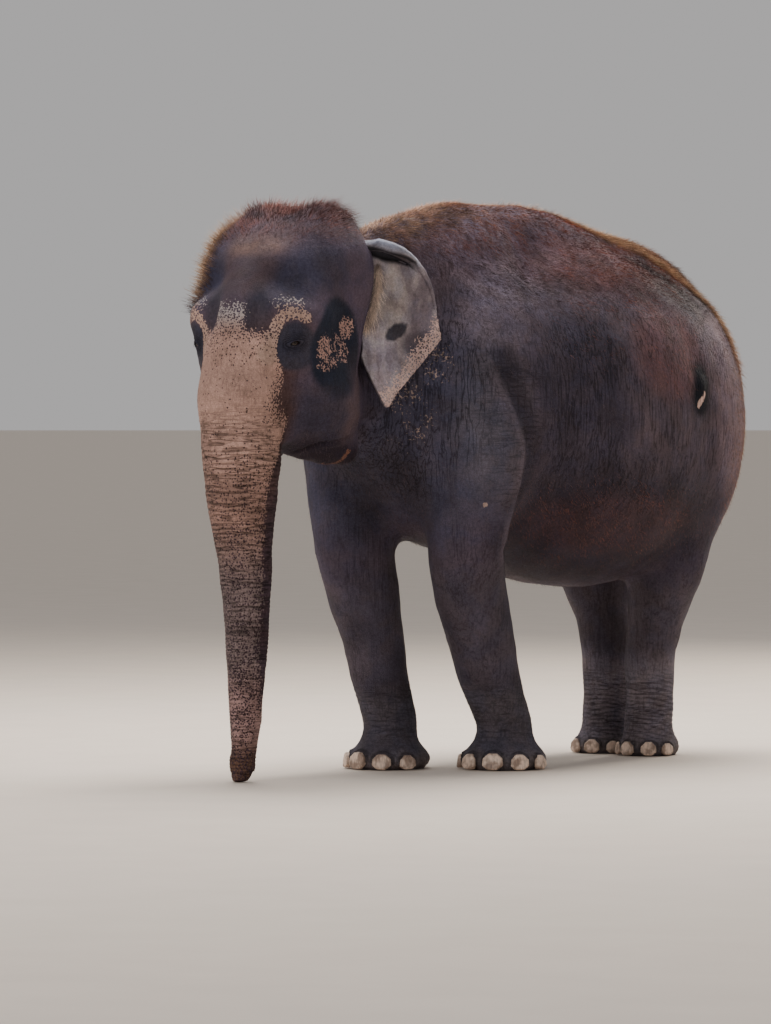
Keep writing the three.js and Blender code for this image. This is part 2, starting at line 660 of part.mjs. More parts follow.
// ---------------------------------------------------------------- tail
const TAIL = [
  [0, 1030, 1860, 80], [-6, 1110, 1800, 66], [-16, 1170, 1690, 50], [-28, 1195, 1540, 40],
  [-38, 1192, 1360, 33], [-46, 1172, 1180, 27], [-50, 1145, 1000, 23], [-50, 1135, 960, 22],
];
const TUFT_TOP = 1000;
const tail = beyond(tube(TAIL, 10), [0, 0, TUFT_TOP], [0, 0, 1]);
add("tail", clearOf(tail, torso, [0, 1, 0.3]), HIDE);

// Hair of the tail's end, in tapered locks along its front and rear edges.
function tuft() {
  const [x, y, z, r] = TAIL.at(-2);
  let hair = tube([[x, y + 2, z + 20, r], [x, y - 12, z - 60, r * 0.9], [x, y - 26, z - 130, r * 0.6]], 10);
  for (let i = 0; i < TUFT_LOCKS; i++) {
    const turn = (2 * Math.PI * (i + 0.5)) / TUFT_LOCKS;
    const [cx, cy] = [Math.cos(turn) * 0.55, Math.sin(turn)];
    const low = 235 - 40 * Math.abs(Math.cos(turn * 2));
    const lock = [
      [x + 10 * cx, y + 10 * cy - 6, z - 36, 7], [x + 26 * cx, y + 32 * cy - 14, z - 100, 8],
      [x + 30 * cx, y + 44 * cy - 32, z - low * 0.75, 6], [x + 24 * cx, y + 38 * cy - 48, z - low, 1.5],
    ];
    hair = hair.add(tube(lock, 4));
  }
  return before(hair, [0, 0, TUFT_TOP], [0, 0, 1]);
}
add("tail_tuft", tuft(), HAIR);

// ---------------------------------------------------------------- origin
// The origin is the middle of the bottom of the animal's bounding box.
const box = new THREE.Box3().setFromObject(elephant);
const middle = box.getCenter(new THREE.Vector3());
for (const node of elephant.children) node.geometry.translate(-middle.x, -middle.y, -box.min.z);

export default elephant;
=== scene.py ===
# %% [markdown]
# # An Asian elephant cow
#
# This lesson dresses a life-size elephant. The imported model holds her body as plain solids: torso, neck,
# head, trunk, legs, ears, eyes and nails. Here they get one living hide, with folds, wrinkles and pale
# freckled patches, and a coat of bristles on top. Lengths are in metres, and she faces -Y, so her left
# side is +X.

# %% The frame
import math
from contextlib import contextmanager
import bpy
import numpy as np
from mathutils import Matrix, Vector, noise
from mathutils.bvhtree import BVHTree


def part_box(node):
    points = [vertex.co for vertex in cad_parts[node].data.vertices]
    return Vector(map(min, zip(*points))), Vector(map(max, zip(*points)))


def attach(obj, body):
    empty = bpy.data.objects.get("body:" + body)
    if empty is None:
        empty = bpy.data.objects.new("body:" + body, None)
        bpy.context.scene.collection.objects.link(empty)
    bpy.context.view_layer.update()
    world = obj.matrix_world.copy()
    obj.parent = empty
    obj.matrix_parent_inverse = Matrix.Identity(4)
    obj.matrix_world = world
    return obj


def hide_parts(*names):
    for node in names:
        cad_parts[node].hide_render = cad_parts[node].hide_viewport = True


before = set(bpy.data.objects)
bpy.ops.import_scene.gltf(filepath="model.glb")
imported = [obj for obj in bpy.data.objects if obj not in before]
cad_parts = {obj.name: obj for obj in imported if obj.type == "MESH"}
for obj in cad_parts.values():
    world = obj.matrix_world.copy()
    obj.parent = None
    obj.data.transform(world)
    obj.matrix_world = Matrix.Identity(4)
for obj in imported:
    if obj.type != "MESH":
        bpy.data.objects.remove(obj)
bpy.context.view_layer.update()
rng = np.random.default_rng(7)

# %% [markdown]
# ## Working on one object at a time
#
# Blender's operators act on everything that is selected. These helpers select one object alone, and add
# a modifier and apply it at once. A mesh's points are read and written as one numpy array, because a loop
# over a hundred thousand points in Python would be slow.


# %% Helpers for meshes
def only(*pieces):
    bpy.ops.object.select_all(action="DESELECT")
    for piece in pieces:
        piece.select_set(True)
    bpy.context.view_layer.objects.active = pieces[0]


def joined(pieces):
    only(*pieces)
    if len(pieces) > 1:
        bpy.ops.object.join()
    return pieces[0]


@contextmanager
def editing(piece):
    only(piece)
    bpy.ops.object.mode_set(mode="EDIT")
    yield
    bpy.ops.object.mode_set(mode="OBJECT")


def finish_with(piece, kind, **settings):
    only(piece)
    bpy.ops.object.modifier_add(type=kind)
    modifier = piece.modifiers[-1]
    for key, value in settings.items():
        setattr(modifier, key, value)
    bpy.ops.object.modifier_apply(modifier=modifier.name)


def numbers_of(items, key, width=1, kind=float):
    flat = np.empty(len(items) * width, kind)
    items.foreach_get(key, flat)
    return flat.reshape(-1, width) if width > 1 else flat


def points_of(piece):
    return numbers_of(piece.data.vertices, "co", 3)


def normals_of(piece):
    return numbers_of(piece.data.vertex_normals, "vector", 3)


def move_points(piece, points):
    piece.data.vertices.foreach_set("co", points.ravel())
    piece.data.update()


def keep_numbers(piece, name, values):
    """Store a number or a colour at each point."""
    if values.ndim == 1:
        layer = piece.data.attributes.new(name, "FLOAT", "POINT")
        layer.data.foreach_set("value", values.astype(np.float32))
    else:
        layer = piece.data.attributes.new(name, "FLOAT_COLOR", "POINT")
        solid = np.column_stack([values, np.ones(len(values))])
        layer.data.foreach_set("color", solid.astype(np.float32).ravel())


def report(piece):
    corners = numbers_of(piece.data.polygons, "loop_total", kind=np.int32)
    print(f"{piece.name}: {len(corners)} faces, {int((corners - 2).sum())} triangles")


# %% [markdown]
# ## Soft edges
#
# Folds and markings fade out over a distance. `ramp` climbs smoothly from 0 to 1 between two values, and
# `oval` is 1 inside a rounded region and fades to 0 across its rim. `bell` is 1 at a middle value and falls
# off on both sides. `ripple` is smooth noise with waves of a given size, and `off_line` measures how far
# points lie from a line of stations. `mirrored` lays her right side over her left one, so that one place
# names both.


# %% Helpers for regions
def ramp(value, start, end):
    share = np.clip((value - start) / (end - start), 0, 1)
    return share * share * (3 - 2 * share)


def bell(value, middle, width):
    return np.exp(-(((value - middle) / width) ** 2))


def oval(points, centre, radii, rim):
    off = (points - np.array(centre)) / np.array(radii)
    outside = (np.linalg.norm(off, axis=1) - 1) * min(radii)
    return 1 - ramp(outside, -rim / 2, rim / 2)


def ripple(points, size, seed=0):
    start = Vector((seed * 17.3, seed * 5.1, seed * 9.7))
    return np.array([noise.noise(Vector(p) / size + start) for p in points])


def off_line(points, line):
    nearest = np.full(len(points), 1e9)
    spot = np.zeros((len(points), 3))
    for start, end in zip(line[:-1], line[1:]):
        start = np.array(start)
        step = np.array(end) - start
        share = np.clip((points - start) @ step / max(step @ step, 1e-9), 0, 1)
        near = start + share[:, None] * step
        distance = np.linalg.norm(points - near, axis=1)
        closer = distance < nearest
        nearest[closer] = distance[closer]
        spot[closer] = near[closer]
    return nearest, spot


def mirrored(points):
    return np.column_stack([np.abs(points[:, 0]), points[:, 1:]])

# %% [markdown]
# ## The head's own directions
#
# She looks a little to her left, so what is on the face is placed in the head's own frame: how far across
# to her left of the middle of the face, how far ahead of the line through both eyes, and how high.

# %% Head frame
SIDES = ("left", "right")


def middle_of(node):
    low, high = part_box(node)
    return (low + high) / 2


eye_at = {side: middle_of(f"eye_{side}") for side in SIDES}
EYE_RADIUS = (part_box("eye_left")[1].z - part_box("eye_left")[0].z) / 2
between_eyes = sum(eye_at.values(), Vector()) / 2
to_left = (eye_at["left"] - eye_at["right"]).normalized()
to_front = Vector((to_left.y, -to_left.x, 0))


def in_head(points):
    off = points - np.array(between_eyes)
    return np.column_stack([off @ np.array(to_left), off @ np.array(to_front), points[:, 2]])


def face_places(points):
    """Places in the head's frame, with both halves of the face laid over each other."""
    return mirrored(in_head(points))


print("left eye", [round(v, 3) for v in eye_at["left"]], "radius", round(EYE_RADIUS, 4))

# %% [markdown]
# ## One hide
#
# The real hide is one skin without a seam. The solids of flesh are copied and joined, and a voxel remesh
# melts them into one closed surface. It comes out stepped and keeps the solids' facets, so it is smoothed.
# Plain smoothing would make thin legs thinner. Here each smoothing step is followed by one the other way,
# which takes away the facets and keeps the girth.

# %% The joined copy of the solids
LEGS = [f"{end}leg_{side}" for end in ("fore", "hind") for side in SIDES]
LEG_PARTS = [f"{leg}_{part}" for leg in LEGS for part in ("upper", "lower", "foot")]
TRUNK_PARTS = [f"trunk_{part}" for part in ("upper", "middle", "lower", "tip")]
FLESH = ["torso", "neck", "head", "lower_jaw", "tail", *TRUNK_PARTS, *LEG_PARTS]
HIDE_VOXEL = 0.025
SMOOTH_IN = 0.5
SMOOTH_OUT = -0.53
SAME_POINT = 1e-5


def plain_copy(name, nodes):
    copies = [bpy.data.objects.new(node + "_copy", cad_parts[node].data.copy()) for node in nodes]
    for copy in copies:
        bpy.context.collection.objects.link(copy)
    piece = joined(copies)
    piece.name = name
    piece.data.name = name
    piece.data.materials.clear()
    with editing(piece):
        bpy.ops.mesh.select_all(action="SELECT")
        bpy.ops.mesh.remove_doubles(threshold=SAME_POINT)
    return piece


def smooth_evenly(piece, rounds):
    for _ in range(rounds):
        for factor in (SMOOTH_IN, SMOOTH_OUT):
            finish_with(piece, "SMOOTH", factor=factor, iterations=1)


hide = plain_copy("hide", FLESH)
finish_with(hide, "REMESH", mode="VOXEL", voxel_size=HIDE_VOXEL)
smooth_evenly(hide, 16)
report(hide)

# %% [markdown]
# ## Finer where it matters
#
# Rings on the trunk, creases round the ankles and the lids need smaller faces than the flank does. Faces on
# the head are split into four, and three times more round the eyes. Those round the nails are split once,
# and those round two small marks twice. On the trunk and the lower legs only the upright edges are cut,
# because their folds run round the limb: that gives thin, wide faces, and far fewer of them.


# %% Splitting faces and upright edges
STEEP = 1.6


def split(piece, kind, chosen, cuts):
    with editing(piece):
        bpy.context.tool_settings.mesh_select_mode = (False, kind == "edges", kind == "polygons")
        bpy.ops.mesh.select_all(action="DESELECT")
    getattr(piece.data, kind).foreach_set("select", chosen)
    with editing(piece):
        bpy.ops.mesh.subdivide(number_cuts=cuts)


def split_faces(piece, wanted):
    split(piece, "polygons", wanted(numbers_of(piece.data.polygons, "center", 3)), 1)


def split_upright_edges(piece, wanted, cuts):
    ends = points_of(piece)[numbers_of(piece.data.edges, "vertices", 2, np.int32)]
    run = ends[:, 1] - ends[:, 0]
    upright = np.abs(run[:, 2]) > STEEP * np.hypot(run[:, 0], run[:, 1])
    split(piece, "edges", upright & wanted(ends.mean(axis=1)), cuts)


HEAD_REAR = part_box("head")[1].y
TRUNK_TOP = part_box("trunk_upper")[1].z
TRUNK_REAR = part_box("trunk_upper")[1].y
HIP_SORE = [(0.622, 0.775, 1.520), (0.612, 0.822, 1.560)]
ELBOW_MARK = [(0.422, -0.467, 1.107)]
SMALL_MARKS = [(0.615, 0.80, 1.55), *ELBOW_MARK]
nail_names = [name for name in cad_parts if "_nail_" in name]
nail_at = {name: middle_of(name) for name in nail_names}


def near(centres, places, reach):
    return np.min([np.linalg.norm(centres - np.array(p), axis=1) for p in places], axis=0) < reach


split_upright_edges(hide, lambda at: (at[:, 2] < TRUNK_TOP) & (at[:, 1] < TRUNK_REAR + 0.02), cuts=5)
split_upright_edges(hide, lambda at: (at[:, 2] < 0.6) & (at[:, 1] > TRUNK_REAR + 0.02), cuts=3)
split_faces(hide, lambda at: (at[:, 2] > TRUNK_TOP - 0.08) & (at[:, 1] < HEAD_REAR - 0.02))
for places, reach in ((nail_at.values(), 0.06), (SMALL_MARKS, 0.075), (SMALL_MARKS, 0.055),
                      (eye_at.values(), 0.12), (eye_at.values(), 0.07), (eye_at.values(), 0.045)):
    split_faces(hide, lambda at: near(at, places, reach))
smooth_evenly(hide, 3)
report(hide)

# %% [markdown]
# ## Forms under the hide
#
# Some forms are too fine for the solids: the ridge down the middle of the face with a hollow on each side,
# the hollow of the temple, the edge of the shoulder that overhangs the flank, and the loose fold where the
# thigh meets the belly. Each is a smooth push along the hide's normal. Places on the face are in the head's
# frame and folded to one half, so both sides get them.

# %% Pushing the hide in and out
def push(piece, amount):
    move_points(piece, points_of(piece) + normals_of(piece) * amount[:, None])


def bump_at(places, centre, radii, height):
    off = (places - np.array(centre)) / np.array(radii)
    return height * np.exp(-(off**2).sum(axis=1))


def relax(piece, share, rounds):
    """Pull each point towards the middle of its neighbours, by its share."""
    ends = numbers_of(piece.data.edges, "vertices", 2, np.int32)
    points = points_of(piece)
    neighbours = np.bincount(ends.ravel(), minlength=len(points))[:, None]
    for _ in range(rounds):
        total = np.zeros_like(points)
        for axis in range(3):
            total[:, axis] = np.bincount(ends[:, 0], points[ends[:, 1], axis], len(points))
            total[:, axis] += np.bincount(ends[:, 1], points[ends[:, 0], axis], len(points))
        points += 0.5 * share[:, None] * (total / neighbours - points)
    move_points(piece, points)


at = points_of(hide)
x, y, z = at.T
on_head = ramp(-y, 0.80, 0.98) * ramp(z, 1.15, 1.25)
relax(hide, on_head * ramp(z, 1.55, 1.65), 24)
at = points_of(hide)
face = face_places(at)

FACE_FORMS = {
    "ridge down the middle": ((0, 0.11, 1.93), (0.055, 0.12, 0.10), 0.012),
    "hollow beside the ridge": ((0.108, 0.10, 1.89), (0.036, 0.10, 0.095), -0.026),
    "brow": ((0.215, 0.03, 1.90), (0.065, 0.07, 0.035), 0.014),
    "hollow over the brow": ((0.20, -0.03, 2.03), (0.075, 0.09, 0.055), -0.018),
    "swelling of the forehead": ((0.10, 0.0, 2.11), (0.09, 0.12, 0.08), 0.014),
    "temple": ((0.305, -0.20, 1.78), (0.06, 0.11, 0.15), -0.022),
    "arch of the cheek": ((0.29, -0.12, 1.60), (0.07, 0.11, 0.032), 0.012),
    "hollow under the eye": ((0.235, 0.0, 1.63), (0.06, 0.06, 0.045), -0.014),
    "pouch of the eye": ((0.236, 0.02, 1.70), (0.05, 0.05, 0.035), 0.007),
    "jaw muscle": ((0.27, -0.24, 1.50), (0.08, 0.10, 0.10), 0.012),
    "corner of the mouth": ((0.20, 0.04, 1.36), (0.05, 0.06, 0.03), -0.010),
}
face_push = sum(bump_at(face, *form) for form in FACE_FORMS.values()) * on_head
push(hide, face_push)
print("face pushed from", round(face_push.min(), 4), "to", round(face_push.max(), 4))

# %% [markdown]
# A fold is a line of stations on the hide. The hide sinks along it and swells a little on the side that
# hangs over, and the swell fades away from the line.


# %% Folds of the body
def fold(places, line, width, depth, swell=0.0, swell_reach=0.1, over=(0, -1, 0)):
    distance, spot = off_line(places, line)
    side = (places - spot) @ np.array(over)
    groove = -depth * bell(distance, 0, width)
    hang = swell * ramp(side, -width, width) * np.exp(-distance / swell_reach)
    return (groove + hang) * (distance < 4 * max(width, swell_reach))


def swapped(line):
    """The same line on her right side, moved with the other foreleg."""
    return [(-x - 0.07, y - 0.10, z) for x, y, z in line]


shoulder_edge = [(0.45, -0.42, 1.72), (0.46, -0.37, 1.58), (0.50, -0.29, 1.37), (0.475, -0.28, 1.21),
                 (0.43, -0.27, 1.05), (0.40, -0.30, 0.90)]
armpit = [(0.40, -0.30, 0.92), (0.30, -0.22, 0.90), (0.17, -0.20, 0.88)]
belly_fold_left = [(0.43, 0.88, 1.02), (0.40, 0.78, 0.92), (0.36, 0.72, 0.86), (0.27, 0.74, 0.83)]
belly_fold_right = [(-0.36, 0.93, 1.02), (-0.33, 0.83, 0.92), (-0.30, 0.77, 0.86), (-0.22, 0.79, 0.83)]
hip_edge = [(0.50, 0.60, 1.98), (0.56, 0.76, 1.84), (0.59, 0.86, 1.70), (0.60, 0.90, 1.50),
            (0.57, 0.90, 1.30)]
spine_side = [(0.22, 0.70, 2.21), (0.33, 0.86, 2.10), (0.41, 0.98, 1.98), (0.47, 1.07, 1.85)]
throat_fold = [(0.16, -0.72, 1.62), (0.15, -0.76, 1.50), (0.13, -0.83, 1.38), (0.06, -0.88, 1.30)]

FOLD_DEPTH = 0.012
SHOULDER_SWELL = 0.016
at = points_of(hide)
fold_push = fold(at, shoulder_edge, 0.026, FOLD_DEPTH, swell=SHOULDER_SWELL)
fold_push += fold(at, swapped(shoulder_edge), 0.026, FOLD_DEPTH, swell=SHOULDER_SWELL)
fold_push += fold(at, armpit, 0.03, FOLD_DEPTH) + fold(at, swapped(armpit), 0.03, FOLD_DEPTH)
fold_push += fold(at, belly_fold_left, 0.024, FOLD_DEPTH, swell=0.012, over=(0, 1, 0.4))
fold_push += fold(at, belly_fold_right, 0.024, FOLD_DEPTH, swell=0.012, over=(0, 1, 0.4))
fold_push += fold(at, throat_fold, 0.022, 0.010, swell=0.008)
fold_push += fold(at, hip_edge, 0.070, 0.007, swell=0.010, over=(0, 1, 0))
fold_push += fold(at, spine_side, 0.045, 0.006)
push(hide, fold_push)

# Loose hide hangs in upright pleats on the neck, and nowhere is it quite even.
at = points_of(hide)
x, y, z = at.T
on_neck = oval(at, (-0.05, -0.70, 1.65), (0.55, 0.22, 0.45), 0.2)
pleats = np.sin(2 * np.pi * (y + 0.25 * z) / 0.075 + 3 * ripple(at, 0.3, 1))
uneven = 0.0045 * ripple(at, 0.16, 2) + 0.0025 * ripple(at, 0.07, 3)
push(hide, 0.0035 * on_neck * pleats + uneven * (1 - 0.6 * on_head))
print("folds pushed from", round(fold_push.min(), 4), "to", round(fold_push.max(), 4))

# %% [markdown]
# ## Rings
#
# The trunk is ringed from the face to its tip, because its hide folds as it bends. The rings stand 25 mm
# apart at the top and 13 mm at the tip, and run into each other here and there. The wrists and ankles have
# rougher, shallower ones. Each ring is a groove between two rounded folds.


# %% Rings of the trunk and ankles
def grooves(phase, width):
    return bell(phase % 1.0, 0.5, width)


at = points_of(hide)
x, y, z = at.T
height = np.maximum(z, 0)
on_trunk = ramp(-y, -TRUNK_REAR, -TRUNK_REAR + 0.03) * ramp(-height, -1.62, -1.36)
TIP_SPACING = 0.0125
SPACING_GROWTH = 0.0085
TRUNK_GROOVE = 0.17
LEG_GROOVE = 0.2
trunk_phase = np.log(TIP_SPACING + SPACING_GROWTH * height) / SPACING_GROWTH
trunk_phase = trunk_phase + 1.1 * ripple(at, 0.14, 4) + 0.35 * ripple(at, 0.045, 5)
ring_depth = 0.0026 * (0.75 + 0.6 * ripple(at, 0.06, 6))
push(hide, -ring_depth * on_trunk * grooves(trunk_phase, TRUNK_GROOVE))

at = points_of(hide)
x, y, z = at.T
behind_trunk = 1 - on_trunk
LEG_RING_SPACING = 0.020
leg_phase = (z + 0.30 * y) / LEG_RING_SPACING
leg_phase = leg_phase + 1.5 * ripple(at, 0.16, 7) + 0.4 * ripple(at, 0.05, 9)
on_hind = ramp(y, 0.5, 0.7)
on_wrists = oval(at, (0, -0.25, 0.24), (0.9, 0.6, 0.14), 0.12)
on_ankles = oval(at, (0, 1.1, 0.21), (0.9, 0.6, 0.15), 0.13)
fuller = on_hind * ramp(z, 0.24, 0.40) * ramp(-z, -0.95, -0.75)
push(hide, 0.009 * fuller)
hip_bump = bump_at(at, (0.607, 0.825, 1.605), (0.06, 0.044, 0.060), 0.014)
saddle = bump_at(at, (0.08, 0.74, 2.28), (0.34, 0.22, 0.16), -0.028)
push(hide, hip_bump + saddle)
leg_rings = behind_trunk * (0.45 * on_wrists * (1 - on_hind) + 1.1 * on_ankles * on_hind)
leg_depth = 0.0036 * np.clip(0.6 + 1.2 * ripple(at, 0.09, 8), 0, 1)
push(hide, -leg_depth * leg_rings * grooves(leg_phase, LEG_GROOVE))
print("ringed points on the trunk", int((on_trunk > 0.5).sum()), "legs", int((leg_rings > 0.3).sum()))

# %% [markdown]
# ## Mouth, nostrils and nail beds
#
# Skin runs on from the cheek over the lower jaw, so the gap between those two solids is smoothed away
# first. Then the mouth is pressed in as a soft crease that rises towards the cheek, with a lip under it.
# The trunk's tip is blunt, with two pits for the nostrils. Round the top of each nail the hide swells into
# a cuticle.

# %% Mouth line
def tree_of(piece):
    faces = [tuple(face.vertices) for face in piece.data.polygons]
    return BVHTree.FromPolygons(points_of(piece).tolist(), faces)


jaw_tree = tree_of(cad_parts["lower_jaw"])
skull_tree = tree_of(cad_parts["head"])
at = points_of(hide)
low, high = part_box("lower_jaw")
close = np.flatnonzero(((at > np.array(low) - 0.03) & (at < np.array(high) + 0.03)).all(axis=1))
to_jaw = np.full(len(at), 1.0)
to_skull = np.full(len(at), 1.0)
for i in close:
    to_jaw[i] = jaw_tree.find_nearest(Vector(at[i]))[3]
    to_skull[i] = skull_tree.find_nearest(Vector(at[i]))[3]
mouth_gap = np.maximum(to_jaw, to_skull)

relax(hide, 1 - ramp(mouth_gap, 0.035, 0.075), 90)
MOUTH_LINE = [(0.080, -0.165, 1.308), (0.164, -0.175, 1.341), (0.216, -0.196, 1.359),
              (0.256, -0.241, 1.371), (0.274, -0.316, 1.385), (0.262, -0.400, 1.412),
              (0.230, -0.470, 1.440)]
LIP_LINE = [(0.080, -0.160, 1.290), (0.164, -0.178, 1.322), (0.222, -0.215, 1.340), (0.262, -0.290, 1.352)]
face = face_places(points_of(hide))
upper_distance, _ = off_line(face, MOUTH_LINE)
lip_distance, _ = off_line(face, LIP_LINE)
mouth = bell(upper_distance, 0, 0.0065) + 0.5 * bell(lip_distance, 0, 0.005)
lip_swell = 0.006 * bell(lip_distance, 0.002, 0.012)
push(hide, lip_swell - 0.008 * np.minimum(mouth, 1))
print("mouth points", int((mouth > 0.5).sum()))

# %% Blunt trunk tip, nostrils and the flat of the soles
TIP_TOP = 0.13
TIP_HEIGHTS = np.linspace(0.0, TIP_TOP, 14)
at = points_of(hide)
x, y, z = at.T
tip_middle = middle_of("trunk_tip")
from_axis = at[:, :2] - np.array(tip_middle.xy)
off_axis = np.linalg.norm(from_axis, axis=1)
round_tip = (off_axis < 0.09) & (z < TIP_TOP)
reach = [off_axis[round_tip & (np.abs(z - level) < 0.008)].max() for level in TIP_HEIGHTS]
wanted = np.interp(TIP_HEIGHTS, [0.0, 0.015, 0.05, TIP_TOP], [0.040, 0.050, 0.054, 0.058])
widen = np.interp(z, TIP_HEIGHTS, np.clip(wanted / np.maximum(reach, 0.008), 1.0, 4.0))
widen = 1 + (widen - 1) * ramp(-z, -TIP_TOP, -0.08)
at[round_tip, :2] += from_axis[round_tip] * (widen[round_tip, None] - 1)
low_down = round_tip & (z < 0.04)
z[low_down] = 0.04 * (np.maximum(z[low_down], 0) / 0.04) ** 2.2
for side in (-1, 1):
    nostril = np.array([tip_middle.x + side * 0.018, tip_middle.y + 0.022])
    off = np.linalg.norm(at[:, :2] - nostril, axis=1)
    z += 0.045 * (1 - ramp(off, 0.008, 0.017)) * (z < 0.06)
z[z < 0.005] = 0.0
move_points(hide, at)

# %% Cuticles round the nails
CUTICLE_REACH = 0.09
at = points_of(hide)
cuticle = np.zeros(len(at))
for name in nail_names:
    centre = np.array(nail_at[name])
    out = centre - np.array(middle_of(name.split("_nail_")[0] + "_foot"))
    out[2] = 0
    out /= np.linalg.norm(out)
    across = np.array([-out[1], out[0], 0])
    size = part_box(name)[1].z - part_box(name)[0].z
    off = at - centre
    from_middle = np.hypot(off @ across / 0.62, off[:, 2] / 0.5) / size
    rim = bell(from_middle, 1.22, 0.20) * ramp(off[:, 2], -0.03, 0.01)
    cuticle = np.maximum(cuticle, rim * (np.linalg.norm(off, axis=1) < CUTICLE_REACH) * (off @ out > -0.05))
push(hide, 0.008 * cuticle)
print("cuticle points", int((cuticle > 0.5).sum()))

# %% [markdown]
# The solids reach to the tips of her hair, so the hide itself lies a little inside them where hair is
# thick: on the crown, the back and the rump.

# %% Room for the hair
at = points_of(hide)
x, y, z = at.T
up = normals_of(hide)[:, 2]
crown_room = 0.004 * ramp(z, 2.10, 2.24) * on_head
back_room = 0.010 * ramp(up, 0.1, 0.7) * ramp(z, 1.85, 2.05) * (1 - on_head)
rump_room = 0.006 * ramp(y, 1.05, 1.40) * ramp(z, 1.0, 1.3)
push(hide, -np.maximum.reduce([crown_room, back_room, rump_room]))

# %% [markdown]
# ## Eyelids
#
# An elephant's eye is small and lies under thick, creased lids. Round each eye the hide is laid over a
# smooth surface fitted to the skin about it, with a low swelling for the lids. An almond-shaped opening is
# pressed in until the eyeball shows, its rim is thickened, and creases run round it above and below.

# %% Shaping the lids
LID_THICKNESS = 0.0052
OPENING = {"half_length": 0.0215, "upper": 0.0098, "lower": 0.0078}
LID_TILT = math.radians(14)
LID_REACH = 0.062


def eye_axes(side):
    sideways = to_left if side == "left" else -to_left
    out = (0.80 * sideways + 0.58 * to_front - Vector((0, 0, 0.10))).normalized()
    rearward = (sideways * 0.58 - to_front * 0.80).normalized()
    up = out.cross(rearward) if side == "right" else rearward.cross(out)
    up = up if up.z > 0 else -up
    slit = math.cos(LID_TILT) * rearward + math.sin(LID_TILT) * up
    upper = math.cos(LID_TILT) * up - math.sin(LID_TILT) * rearward
    return np.array(out), np.array(slit), np.array(upper)


def curved_terms(a, b):
    return np.column_stack([np.ones_like(a), a, b, a * a, a * b, b * b])


def shape_lids(points, side):
    out, slit, upper = eye_axes(side)
    off = points - np.array(eye_at[side])
    along, across, proud = off @ slit, off @ upper, off @ out
    away = np.hypot(along, across)
    here = (away < LID_REACH) & (proud > -0.03) & (proud < 0.09)
    round_about = (away > 0.048) & (away < 0.09) & (proud > -0.04) & (proud < 0.09)
    terms = curved_terms(along[round_about], across[round_about])
    fit, *_ = np.linalg.lstsq(terms, proud[round_about], rcond=None)
    a, b, r = along[here], across[here], away[here]
    surface = curved_terms(a, b) @ fit
    swelling = EYE_RADIUS + LID_THICKNESS - fit[0]
    surface = surface + swelling * bell(r, 0, 0.033)

    half = OPENING["half_length"]
    half_height = np.where(b > 0, OPENING["upper"], OPENING["lower"])
    limit = half_height * np.maximum(1 - (a / half) ** 2, 0) ** 0.7
    inside = limit - np.abs(b) - 0.002 * (np.abs(a) > half)
    opening = ramp(inside, -0.0012, 0.0016) * (np.abs(a) < half)
    ring = np.hypot(a / half, b / half_height)
    surface += 0.0022 * bell(ring, 1.28, 0.22)
    wavy = ring + 0.12 * np.sin(9 * np.arctan2(b, a) + 2 * ring)
    creases = np.zeros(len(ring))
    for crease, depth in ((1.75, 1.0), (2.35, 0.9), (3.0, 0.9), (3.7, 0.7), (4.5, 0.6), (5.3, 0.5)):
        creases += depth * bell(wavy, crease, 0.17)
    surface -= 0.0034 * creases
    eyeball = np.sqrt(np.maximum(EYE_RADIUS**2 - r**2, 0))
    surface = surface * (1 - opening) + np.minimum(surface, eyeball - 0.004) * opening

    share = 1 - ramp(r, 0.046, LID_REACH)
    moved = points.copy()
    moved[here] += ((surface - proud[here]) * share)[:, None] * out
    # The creases are kept, to be painted darker as shade in them.
    lid_crease_shade[here] = np.clip(creases, 0, 1) * share
    print(f"{side} lids: {int(here.sum())} points, {int((opening > 0.5).sum())} in the opening")
    return moved, here


at = points_of(hide)
lid_crease_shade = np.zeros(len(at))
on_lids = np.zeros(len(at), bool)
for side in SIDES:
    at, here = shape_lids(at, side)
    on_lids |= here
move_points(hide, at)

# %% [markdown]
# ## Ears
#
# An ear is a thin flap of skin over a sheet of cartilage, hung from the side of the head. It stays a piece
# of its own, because it is far thinner than anything else and needs much smaller faces. Its top edge is
# rolled forward, its rim is uneven, and low ridges of blood vessels spread from the root. Places on an ear
# are given on its own chart: metres back from its front, and metres up from its tip.

# %% Ears
EAR_VOXEL = 0.0048
ear_low, ear_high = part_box("ear_left")
EAR_LENGTH = ear_high.y - ear_low.y
EAR_HEIGHT = ear_high.z - ear_low.z


def on_chart(points, side):
    low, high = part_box(f"ear_{side}")
    back = (points[:, 1] - low.y) / (high.y - low.y) * EAR_LENGTH
    up = (points[:, 2] - low.z) / (high.z - low.z) * EAR_HEIGHT
    return np.column_stack([back, up, np.zeros(len(points))])


def outwardness(piece, side):
    """How far each point's normal looks away from the head."""
    return normals_of(piece)[:, 0] * (1 if side == "left" else -1)


def stations(*places):
    return [(back, up, 0) for back, up in places]


ROLL_BACK = [0.00, 0.06, 0.124, 0.185, 0.214, 0.249, 0.285]
ROLL_UP = [0.677, 0.664, 0.645, 0.632, 0.622, 0.602, 0.565]
VESSELS = [
    stations((0.06, 0.50), (0.15, 0.47), (0.24, 0.44), (0.31, 0.40)),
    stations((0.15, 0.47), (0.22, 0.37), (0.32, 0.30)),
    stations((0.05, 0.44), (0.12, 0.33), (0.18, 0.22), (0.22, 0.16)),
    stations((0.12, 0.33), (0.22, 0.28), (0.28, 0.24)),
    stations((0.05, 0.36), (0.07, 0.24), (0.10, 0.12)),
    stations((0.07, 0.55), (0.16, 0.56), (0.25, 0.52)),
]


def above_roll(chart):
    """How far above the roll's middle line, drawn in towards the roll's end."""
    thickness = np.interp(chart[:, 0], [0.0, 0.15, 0.22, 0.29], [1.0, 1.0, 0.7, 0.3])
    return (chart[:, 1] - np.interp(chart[:, 0], ROLL_BACK, ROLL_UP)) / thickness


